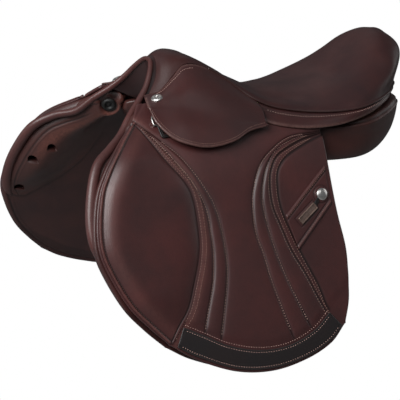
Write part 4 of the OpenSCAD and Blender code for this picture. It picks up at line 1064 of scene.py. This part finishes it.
def strip_at(u, w, n):
    """Point of the strip: u from its left front end round the back to the right, w from the seam down."""
    u, w = np.broadcast_arrays(np.asarray(u, float), np.asarray(w, float))
    h = np.where(u < 0.5, 2 * u, 2 - 2 * u)
    p = mix(through(STRIP_HEAD, h), through(STRIP_LOW, h), w[..., None])
    p += np.array([0, 3, 4]) * (4 * w * (1 - w) * smooth(2 - 3 * h))[..., None]
    inward = unit(np.stack([mix(60, 130, smooth(h)), 0 * h, p[..., 2]], -1) - p)
    inward[..., 2] -= 0.7 * smooth(2 - 2 * h)
    p += (2.4 - np.asarray(n, float))[..., None] * unit(inward)
    p[..., 1] *= np.where(u < 0.5, 1, -1)
    return p


U, W = grid(361, 26)
strip_line = bell(W, STRIP_ROW, 0.035) * smooth((0.36 - np.abs(np.abs(U - 0.5) - 0.5)) / 0.02)
outer = strip_at(U, W, STRIP_THICK - 0.5 * strip_line + 0.6 * bell(W, 0.93, 0.08))
# painted shade along the stitch line, and a lighter lower edge: worn edge with a painted highlight
strip_marks = {"groove": 0.6 * strip_line, "wear": 0.8 * bell(W, 1, 0.08)}
single("rear_strip_leather", sheet(outer, strip_at(U, W, 0 * U), strip_marks), M_SKIRT, ("rear_strip",))

# ---------------------------------------------------------------- main panels
# x and the section's corners [y, z], from the front to the rear
PANEL_RIBS = [
    (-214, [[42, 80], [53, 81], [63, 74], [60, 65], [46, 67]]),
    (-200, [[34, 83], [60, 80], [77, 67], [74, 48], [46, 58]]),
    (-170, [[32, 79], [66, 76], [89, 60], [88, 32], [46, 50]]),
    (-120, [[32, 69], [68, 66], [96, 46], [100, 12], [44, 38]]),
    (-50, [[33, 57], [74, 54], [101, 36], [106, 0], [43, 28]]),
    (20, [[34, 52], [80, 51], [104, 33], [109, -8], [41, 20]]),
    (70, [[34, 51], [104, 46], [117, 24], [110, -15], [40, 15]]),
    (125, [[34, 53], [116, 50], [122, 22], [106, -18], [39, 13]]),
    (165, [[31, 58], [106, 56], [112, 26], [95, -12], [37, 14]]),
    (198, [[26, 61], [90, 62], [95, 34], [80, 4], [33, 20]]),
    (220, [[20, 62], [69, 62], [75, 43], [62, 22], [27, 30]]),
    (231, [[24, 54], [46, 54], [52, 44], [46, 34], [28, 38]])]
PANEL_POINTS = np.array([[[x, y, z] for y, z in corners] for x, corners in PANEL_RIBS], float)
PANEL_LONG, PANEL_ROUND = 150, 72
CAP_RINGS, CAP_BULGE = (0.75, 0.45, 0.15), 3.0
PANEL_SEAM, PANEL_ROW = 0.25, 0.285         # the seam and its stitching, by share of the way round


def panel_at(i, k):
    """Point of a main panel on the right: i along it from 0 to 1, k round its section from 0 to 1."""
    i, k = np.broadcast_arrays(np.asarray(i, float), np.asarray(k, float))
    p = [through(PANEL_POINTS[:, j], i) for j in range(5)]
    return across(np.stack([p[4], *p, p[0], p[1]]), k % 1.0 * 5)


def end_cap(ring, way):
    """Rings that close the panel's end with a low dome."""
    middle = ring.mean(0)
    return [middle + (ring - middle) * s + [way * CAP_BULGE * math.sqrt(1 - s * s), 0, 0] for s in CAP_RINGS]


I, K = np.meshgrid(np.linspace(0, 1, PANEL_LONG), np.arange(PANEL_ROUND) / PANEL_ROUND, indexing="ij")
panel = panel_at(I, K)
out = grid_normals(np.concatenate([panel, panel[:, :1]], 1), (0, 1, 0))[:, :-1]
seam = bell(K, PANEL_SEAM, 0.014)
panel += (1.3 * bell(K, PANEL_SEAM + 0.035, 0.016) - 1.2 * seam)[..., None] * out
rings = np.stack([*end_cap(panel[0], -1)[::-1], *panel, *end_cap(panel[-1], 1)])
verts, faces, _ = skin(rings, [rings[0].mean(0), rings[-1].mean(0)])
cap_size = len(CAP_RINGS) * PANEL_ROUND
# painted shade in the seam's groove
groove = np.pad(0.8 * seam.ravel(), (cap_size, cap_size + 2))
panel_solid = (verts, faces, {"groove": groove, "wear": 0 * groove})
pair("panel_leather", panel_solid, M_PANEL, nodes=("panel_{}",), fill=0.85)

# ---------------------------------------------------------------- welt along the seat's seam
WELT_R, WELT_DOWN, WELT_FROM = 1.9, 0.6, 0.27
share = np.linspace(WELT_FROM, 1, 260)
welt = seat_at(share, 1.0)
welt += WELT_DOWN * unit(welt - seat_at(share, 0.97))
welt[:, 1] += 1.2 * smooth((1 - share) / 0.06)
single("seat_welt", marked(tube(np.concatenate([welt, welt[:-1][::-1] * TO_LEFT]), WELT_R), 0.25), M_WELT)


# ---------------------------------------------------------------- stitching
def snap(points, normals, tree, reach=14.0):
    """Each point moved along its normal onto the surface, seen from outside."""
    out = points.copy()
    for k, (p, n) in enumerate(zip(points, normals)):
        n = Vector(n).normalized()
        where = tree.ray_cast(Vector(p) + n * reach, -n, 2 * reach)[0]
        if where is not None:
            out[k] = where
    return out


def row(curve, tree, offset=0.0, start=0.0, end=1.0, **thread):
    """A row of stitches along a curve of [x, v] on the side; offset moves it to the right of the curve."""
    q = even(curve, 500)
    q = q[int(start * 499):int(end * 499) + 1]
    d = unit(np.gradient(q, axis=0))
    q = q + offset * np.stack([d[:, 1], -d[:, 0]], 1)
    n = down_and_out(q[:, 1])[1]
    return stitches(snap(on_grid(q, 3.0), n, tree) + 0.15 * n, n, **thread)


on_the_flap, on_the_leaf, on_the_patch, on_the_keeper = (
    tree_of(on_grid(q, h)) for q, h in ((FLAP, FLAP_H), (LEAF, LEAF_H), (PATCH, PATCH_H), (KEEP, KEEP_H)))
LIGHT = [row(SEAMS["B"], on_the_flap, end=0.97), row(SEAMS["C"], on_the_flap, end=0.97),
         row(SEAMS["D"], on_the_flap, 0.0, 0.06, 0.98), row(SEAMS["E"], on_the_flap, 0.0, 0.06, 0.98),
         row(PATCH_TOP, on_the_flap, 4.0), row(PATCH_LOW, on_the_patch, PATCH_ROW, 0.02, 0.98),
         row(PATCH_TOP, on_the_patch, -PATCH_ROW, 0.02, 0.98)]
MIDDLE = [row(SEAMS[name], on_the_flap, *how) for name, *how in (
    ("A", 5.2, 0.02, 0.97), ("A", 11.5, 0.24, 0.96), ("A", 2.4, 0.03, 0.30), ("A", 8.4, 0.13, 0.32),
    ("F", -3.0, 0.06, 0.98), ("F", 3.0, 0.05, 0.98), ("G", -3.2, 0.06, 0.97))]
MIDDLE += [row(border, on_the_keeper, offset, 0.02, 0.98, thick=0.85)
           for border, offset in ((KEEP_TOP, -4.2), (KEEP_LOW, 4.2))]
DARK = [row(LEAF_FRONT, on_the_leaf, LEAF_ROW, 0.02, 0.99, thick=1.1, pitch=3.4, length=2.2)]
for name, rows, thread in (("light", LIGHT, M_TAN), ("seam", MIDDLE, M_BROWN), ("edge", DARK, M_DARK)):
    pair(name + "_stitching", merge(rows), thread, on_flap)

SKIRT_INSET = 4.2                   # of the row along the skirt's lower edge
inset = []
for line, normals in zip(SKIRT, SKIRT_OUT):
    s = lengths(line)
    inset.append([columns(s[-1] - SKIRT_INSET, s, values) for values in (line, normals)])
edge_line, edge_out = np.swapaxes(inset, 0, 1)[:, 4:-1]
pair("skirt_stitching", stitches(edge_line, edge_out, 2.9, 2.2, 0.7), M_BROWN, on_skirt)

share = np.linspace(0.015, 0.33, 200)
strip_path, above = (strip_at(share, STRIP_ROW, np.full(share.shape, n)) for n in (2.2, 3.2))
strip_row = stitches(strip_path, above - strip_path)
single("strip_stitching", merge([strip_row, mirrored(strip_row, "left")]), M_TAN)

# ---------------------------------------------------------------- seat foam
# height of the tree's webbing under the middle of the seat, along x
FLOOR_X = [-200, -160, -112, -85, -55, -20, 20, 60, 95, 132, 198]
FLOOR_Z = [150, 140, 121, 106, 94, 84, 79.5, 79, 81, 87, 86.5]
FOAM_GAP, FOAM_REACH = 3.0, 0.975   # under the seat's outer face, and share of the way to its seam
foam_top = SEAT - FOAM_GAP * SEAT_OUT
middle_x = SEAT[:, SEAT.shape[1] // 2, 0]
floor_line = np.stack([middle_x, 0 * middle_x, np.interp(middle_x, FLOOR_X, FLOOR_Z)], -1)[:, None]
to_side = np.where(SEAT_ACROSS[:, None] < 0, foam_top[:, :1], foam_top[:, -1:])
foam_low = mix(floor_line, to_side, FOAM_REACH * np.abs(SEAT_ACROSS)[:, None])
single("seat_foam_pad", sheet(foam_top[9:-1], foam_low[9:-1], bulge=0.15), M_FOAM, ("seat_foam",))

# ---------------------------------------------------------------- girth guard
GUARD_X, GUARD_V = (-152.5, -17.5), (198, 258)
GUARD_ROW, POST_TOP, POST_LOW = 4, 0.9, -4.4
# each wall's outer and inner face, over the billets' outer face
GUARD_FRONT, GUARD_BACK = (3.15, 0.75), (-4.25, -5.45)
# what joins its two walls beside and between the billets, from x to x
GUARD_POSTS = ((-152.5, -147.0), (-115.5, -99.5), (-70.5, -54.5), (-23.0, -17.5))
U, W = grid(90, 44)
guard_xv = np.stack([mix(*GUARD_X, U), mix(*GUARD_V, W)], -1)
from_rim = np.min([np.minimum(guard_xv[..., k] - low, high - guard_xv[..., k])
                   for k, (low, high) in enumerate((GUARD_X, GUARD_V))], 0)
gaps = [(a + b) / 2 for (_, a), (_, b) in zip(BILLETS, BILLETS[1:])]
between_billets = np.min([np.abs(guard_xv[..., 0] - x) for x in gaps], 0)
guard_line = np.maximum(bell(from_rim, GUARD_ROW, 0.9), bell(between_billets, 0, 1.1))
out = billet_out(MIDDLE_X, guard_xv[..., 1])
GUARD = on_grid(guard_xv, out + GUARD_FRONT[0] - 0.5 * guard_line)
GUARD_OUT = grid_normals(GUARD, (0, 1, 0))
# painted shade along its stitch grooves
walls = [sheet(GUARD, on_grid(guard_xv, out + GUARD_FRONT[1]), {"groove": 0.6 * guard_line, "wear": 0}),
         sheet(*(on_grid(guard_xv, out + n) for n in GUARD_BACK), {"groove": 0, "wear": 0})]
U, W = grid(8, 30, w=(0.01, 0.99))
for ends in GUARD_POSTS:
    post = np.stack([mix(*ends, U), mix(*GUARD_V, W)], -1)
    out = billet_out(MIDDLE_X, post[..., 1])
    faces = (on_grid(post, out + n) for n in (POST_TOP, POST_LOW))
    walls.append(sheet(*faces, {"groove": 0, "wear": 0}, bulge=0.1))
pair("girth_guard_leather", merge(walls), M_LINING, with_part("girth_guard"), ("girth_guard_{}",))
inside = slice(4, -4)
guard_rows = [stitches(GUARD[at], GUARD_OUT[at], thick=0.9)
              for at in ((inside, 3), (inside, -4), (3, inside), (-4, inside))]
pair("guard_stitching", merge(guard_rows), M_BROWN, with_part("girth_guard"))

# ---------------------------------------------------------------- dee strap
STRAP_THICK, STRAP_HALF, WIRE_R = 1.2, 6.5, 1.7
TAB_LONG, TAB_ROUND = 20.0, 17.5    # the tab's length, and where its end starts to round off
TAB_HOLE_DOWN, TAB_HOLE_R = 15, 2.25
strap_seat = on(DEE_X, DEE_V, WIRE_R + STRAP_THICK + 0.35)
strap_down, strap_out = down_and_out(DEE_V)


def strap_point(x, y, z):
    """x along the saddle, y down the slope, z out of it, from the dee's wire."""
    return strap_seat + np.stack([x, y, z], -1) @ np.stack([[1.0, 0, 0], strap_down, strap_out])


U, W = grid(24, 40, (-1, 1))
y = WIRE_R + 0.2 + TAB_LONG * W
half_width = STRAP_HALF * np.sqrt(np.clip(1 - np.maximum((y - TAB_ROUND) / 6.2, 0) ** 2, 0.05, 1))
tab_line = bell(np.minimum(half_width * (1 - np.abs(U)), WIRE_R + 0.2 + TAB_LONG - y), 1.8, 0.6)
# painted shade along the tab's stitch groove
tab = sheet(strap_point(U * half_width, y, 0.8 - 0.3 * tab_line), strap_point(U * half_width, y, 0 * U - 1.6),
            {"groove": 0.5 * tab_line, "wear": 0}, bulge=0.6)
tab_hole = prism(DEE_X, DEE_V + TAB_HOLE_DOWN, -6, 10, circle(TAB_HOLE_R))
pair("strap_tab", tab, M_BLACK, nodes=("dee_strap_{}",), holes=[tab_hole])
edge_x = np.array([-6.5, -6.5, -6.1, 6.1, 6.5, 6.5])
edge_r = np.array([0, 0.9, STRAP_THICK, STRAP_THICK, 0.9, 0])
turn = np.linspace(0, 2 * math.pi, 40, endpoint=False)[:, None]
loop = strap_point(edge_x + 0 * turn, (WIRE_R + edge_r) * np.cos(turn), (WIRE_R + edge_r) * np.sin(turn))
pair("strap_loop", marked(skin(loop), 0.2), M_BLACK)

# ---------------------------------------------------------------- keeper plate's rim and neck
RIM_R, RIM_IN, RIM_N = 1.15, 1.3, 4.9
NECK_FROM, NECK_TO, NECK_HALF, NECK_TOP, NECK_LOW = (-4, 229.5), (3, 223), 3.4, 4.6, 3.0
corner = np.linspace(0, 4, 240, endpoint=False)[:, None]
along_it, across_it = (np.interp(corner, range(5), c) for c in ((-1, 1, 1, -1, -1), (-1, -1, 1, 1, -1)))
rim_xv = PLATE + (along_it * (PLATE_L / 2 - RIM_IN) * ALONG_PLATE
                  + across_it * (PLATE_W / 2 - RIM_IN) * ACROSS_PLATE)
pair("plate_rim", tube(on_grid(rim_xv, RIM_N), RIM_R, closed=True), M_PLATE, with_part("flap"))
U, W = grid(14, 9, w=(-1, 1))
neck = mix(np.array(NECK_FROM), np.array(NECK_TO), U[..., None])
neck[..., 1] += NECK_HALF * W
pair("plate_neck", sheet(on_grid(neck, NECK_TOP), on_grid(neck, NECK_LOW)), M_BLACK, with_part("flap"))

# ---------------------------------------------------------------- stitching of skirt head and panels
share, known = np.linspace(0.10, 0.50, 120), np.linspace(0, 1, len(SKIRT))
head_line, head_out = (columns(share, known, values[:, 4]) for values in (SKIRT, SKIRT_OUT))
pair("head_stitching", stitches(head_line, head_out, 3.4, 2.4, 0.9), M_TAN)
share = np.linspace(0.03, 0.97, 400)
lines = np.stack([panel_at(share, PANEL_ROW + k) for k in (-0.005, 0, 0.005)], 1)
out = grid_normals(lines, (0, 1, 0))[:, 1]
pair("panel_stitching", stitches(lines[:, 1] + 0.3 * out, out, thick=1.0), M_BROWN)

# ---------------------------------------------------------------- nail heads
NAIL = [(0.05, 2.3), (0.9, 2.3), (1.4, 1.7), (2.1, 1.7), (2.8, 2.7), (4.6, 2.8), (6.8, 2.4), (8.4, 1.5),
        (9.2, 0.3), (9.0, -0.8), (0.05, -0.8)]
nail_at, nail_axis = place(IMAGE_POINTS["nail"], tree_of(SKIRT * TO_LEFT))
pair("nail_head", lathe(NAIL, nail_at * TO_LEFT, nail_axis * TO_LEFT), M_NICKEL, nodes=("skirt_nails",))


# ---------------------------------------------------------------- webbing
WEAVE, RIB_PITCH, ROW_PITCH, WEAVE_ROOM = 0.14, 2.6, 3.2, 0.15


def woven(x, y):
    """Height of a woven band, x along it and y across it in mm: fine cross ribs, broken into rows."""
    return WEAVE * np.sin(x * 2 * np.pi / RIB_PITCH) * np.sign(np.sin(y * 2 * np.pi / ROW_PITCH))


WEB_HALF, WEB_OUT, WEB_IN = MIDDLE_X - BILLETS[0][1] + BILLET_HALF + 8, -4.35, -7.15
U, W = grid(180, 60, (-1, 1), (76, 116))
web_xv = np.stack([MIDDLE_X + U * WEB_HALF, W], -1)
web_top = on_grid(web_xv, WEB_OUT - WEAVE_ROOM + woven(U * WEB_HALF, W))
pair("billet_webbing", sheet(web_top, on_grid(web_xv, WEB_IN), bulge=0.5), M_WEB, nodes=("billet_web_{}",))

BAND_HALF, BAND_THICK, BAND_ENDS = 14, 2, (-165.6, 190)
LONG_UNDER, CROSS_UNDER = 7, 8      # how far the bands lie under the floor line


def web_band(x, y, z, u, w):
    """A band of the seat's webbing over x, y and z, u running along it and w across it."""
    top = np.stack([x, y, z + woven(u, w) - WEAVE_ROOM], -1)
    return sheet(top, np.stack([x, y, z - BAND_THICK], -1), bulge=0.5)


U, W = grid(300, 20, BAND_ENDS, (-BAND_HALF, BAND_HALF))
spread = mix(1.5, 12, (U - BAND_ENDS[0]) / (BAND_ENDS[1] - BAND_ENDS[0]))
floor_z = np.interp(U, FLOOR_X, FLOOR_Z)
bands = [web_band(U, k * (BAND_HALF + spread) + W, floor_z - LONG_UNDER, U, W) for k in (-1, 1)]
for x, reach in ((-20, 33), (60, 46)):
    U, W = grid(60, 20, (-reach, reach), (-BAND_HALF, BAND_HALF))
    floor_z = np.full(U.shape, np.interp(x, FLOOR_X, FLOOR_Z))
    bands.append(web_band(x + W, U, floor_z - CROSS_UNDER, U, W))
single("seat_webbing_bands", merge(bands), M_WEB, ("seat_webbing",))

# ---------------------------------------------------------------- CAD nodes that stay as they are
CAD_LOOK = {"tree": M_WOOD, "head_plate": M_STEEL, "spring": M_STEEL, "stirrup_bar": M_BAR,
            "bar_catch": M_BAR, "keeper_stud": M_NICKEL, "keeper_plate": M_PLATE, "dee": M_DEE}
for name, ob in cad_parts.items():
    if not ob.hide_render:
        ob.data.materials.clear()
        ob.data.materials.append(CAD_LOOK.get(name.replace("_left", "").replace("_right", ""), M_LINING))


# ---------------------------------------------------------------- floor, world, lamps
def white_to_camera(nt, lit, kind, output):
    """Light and shadow come from lit, but the camera sees plain white."""
    rays, white = add(nt, "ShaderNodeLightPath"), add(nt, kind, (1, 1, 1, 1))
    both = add(nt, "ShaderNodeMixShader", rays.outputs["Is Camera Ray"], lit, white.outputs[0])
    plug(nt, both.outputs[0], output)


FLOOR_HALF, FLOOR_DOWN = 8, -0.62
floor_me = bpy.data.meshes.new("floor")
corners = [(x * FLOOR_HALF, y * FLOOR_HALF, FLOOR_DOWN) for x, y in ((-1, -1), (1, -1), (1, 1), (-1, 1))]
floor_me.from_pydata(corners, [], [(0, 1, 2, 3)])
floor = bpy.data.objects.new("floor", floor_me)
bpy.context.scene.collection.objects.link(floor)
floor_look, nt, shader, _ = node_material("floor_white")
shader.inputs["Base Color"].default_value = (0.25, 0.25, 0.25, 1)
shader.inputs["Roughness"].default_value = 0.9
white_to_camera(nt, shader.outputs[0], "ShaderNodeEmission", nt.nodes["Material Output"].inputs[0])
floor_me.materials.append(floor_look)

world = bpy.data.worlds.new("world")
bpy.context.scene.world = world
world.use_nodes = True
nt = world.node_tree
nt.nodes.clear()
sky = add(nt, "ShaderNodeBackground", (0.95, 0.97, 1.0, 1), 0.09)
white_to_camera(nt, sky.outputs[0], "ShaderNodeBackground", nt.nodes.new("ShaderNodeOutputWorld").inputs[0])

# name, place, aim, size and power
LAMPS = (("key", (-1.75, -0.9, 1.5), (-0.1, 0, 0), 1.5, 78), ("fill", (0.2, -2.3, 2.3), (0.0, 0, 0), 1.6, 8),
         ("rim", (-2.2, 1.0, 0.3), (-0.2, 0, -0.05), 1.5, 6), ("back", (0.5, 1.9, 2.4), (0, 0, 0.05), 2.6, 5),
         ("rear", (2.4, -0.2, 0.5), (0.1, 0, 0.0), 1.4, 7))
for name, where, aim, size, power in LAMPS:
    light = bpy.data.lights.new(name, "AREA")
    light.shape, light.size, light.energy = "SQUARE", size, power
    lamp = bpy.data.objects.new(name, light)
    bpy.context.scene.collection.objects.link(lamp)
    lamp.location = where
    lamp.rotation_euler = (Vector(where) - Vector(aim)).to_track_quat("Z", "Y").to_euler()
bpy.context.scene.view_settings.view_transform = "Standard"

# ---------------------------------------------------------------- where things show
bpy.context.view_layer.update()
DEPS = bpy.context.evaluated_depsgraph_get()
TO_CAMERA = np.array(camera.matrix_world.inverted())
EYE = camera.matrix_world.translation
LOOK_BACK, CLOSE = 0.9, 0.0012      # in metres: where a point's ray starts before it, and how near it stops


def pixels(points):
    """Where points, in metres, show in the photograph's frame."""
    c = points @ TO_CAMERA[:3, :3].T + TO_CAMERA[:3, 3]
    scale = PHOTO * cam_data.lens / SENSOR / -c[:, 2]
    return np.stack([PHOTO / 2 + c[:, 0] * scale, PHOTO / 2 - c[:, 1] * scale], 1)


def points_of(ob):
    me = ob.evaluated_get(DEPS).to_mesh()
    co = np.empty(len(me.vertices) * 3)
    me.vertices.foreach_get("co", co)
    return co.reshape(-1, 3) @ np.array(ob.matrix_world)[:3, :3].T + np.array(ob.matrix_world)[:3, 3]


def is_seen(point):
    """Whether nothing that is rendered stands between the camera and the point."""
    ray = Vector(point) - EYE
    far, ray = ray.length, ray.normalized()
    start = EYE + ray * (far - LOOK_BACK)
    while True:
        left = far - (start - EYE).length - CLOSE
        if left <= 0:
            return True
        hit, where, _, _, what, _ = bpy.context.scene.ray_cast(DEPS, start, ray, distance=left)
        if not (hit and what.hide_render):
            return not hit
        start = where + ray * 1e-5


def seen_points(name, keep=None, most=1500):
    """The finished vertices of a piece or node that the camera sees, in metres; keep picks some by place."""
    co = points_of(bpy.data.objects[name] if name in bpy.data.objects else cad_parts[name])
    if keep is not None:
        co = co[keep(co)]
    return np.array([p for p in co[::max(len(co) // most, 1)] if is_seen(p)]).reshape(-1, 3)


def centre(q):
    return (q.min(0) + q.max(0)) / 2


def middle(name):
    return centre(pixels(seen_points(name)))


def edge(name, axis, end):
    """The seen vertex of name furthest left or right (axis 0), or up or down (axis 1)."""
    q = pixels(seen_points(name, most=6000))
    return q[(q[:, axis] * end).argmax()]


def vent_middle(x, v):
    """The middle of the finished vertices that show on the border of the vent at x, v."""
    flat = np.stack([[1.0, 0, 0], down_and_out(v)[0]])

    def on_border(co):
        at = (co / MM - on(x, v, 0)) @ flat.T
        return (np.abs(sdist(at[:, 0], at[:, 1], VENT_RING)) < 0.3) & (np.hypot(*at.T) < 0.7 * VENT_W)
    return centre(pixels(np.concatenate([seen_points("right_" + name, on_border)
                                         for name in ("front_panel_leather", "sweat_flap_leather")])))


everything = np.concatenate([pixels(points_of(ob)) for ob in bpy.data.objects
                             if ob.type == "MESH" and not ob.hide_render and ob is not floor])
SHOWS = {"left": (everything[:, 0].min(), None), "right": (everything[:, 0].max(), None),
         "top": (None, everything[:, 1].min()), "bottom": (None, everything[:, 1].max()),
         "nail": middle("left_nail_head"), "far_stud": middle("right_point_stud"),
         "keeper_stud": middle("keeper_stud_left"), "keeper_plate": middle("keeper_plate_left"),
         "skirt_corner": edge("left_skirt_leather", 0, -1), "skirt_lowest": edge("left_skirt_leather", 1, 1),
         "leaf_front": edge("left_knee_leaf_leather", 0, -1),
         "patch_lowest": edge("left_wear_patch_leather", 1, 1), "strap_tab": middle("left_strap_tab"),
         **{"vent_%d" % (k + 1): vent_middle(*at) for k, at in enumerate(VENTS)}}
for key, at in SHOWS.items():
    [None if a is None or b is None else round(float(a - b), 2) for a, b in zip(at, IMAGE_POINTS[key])]
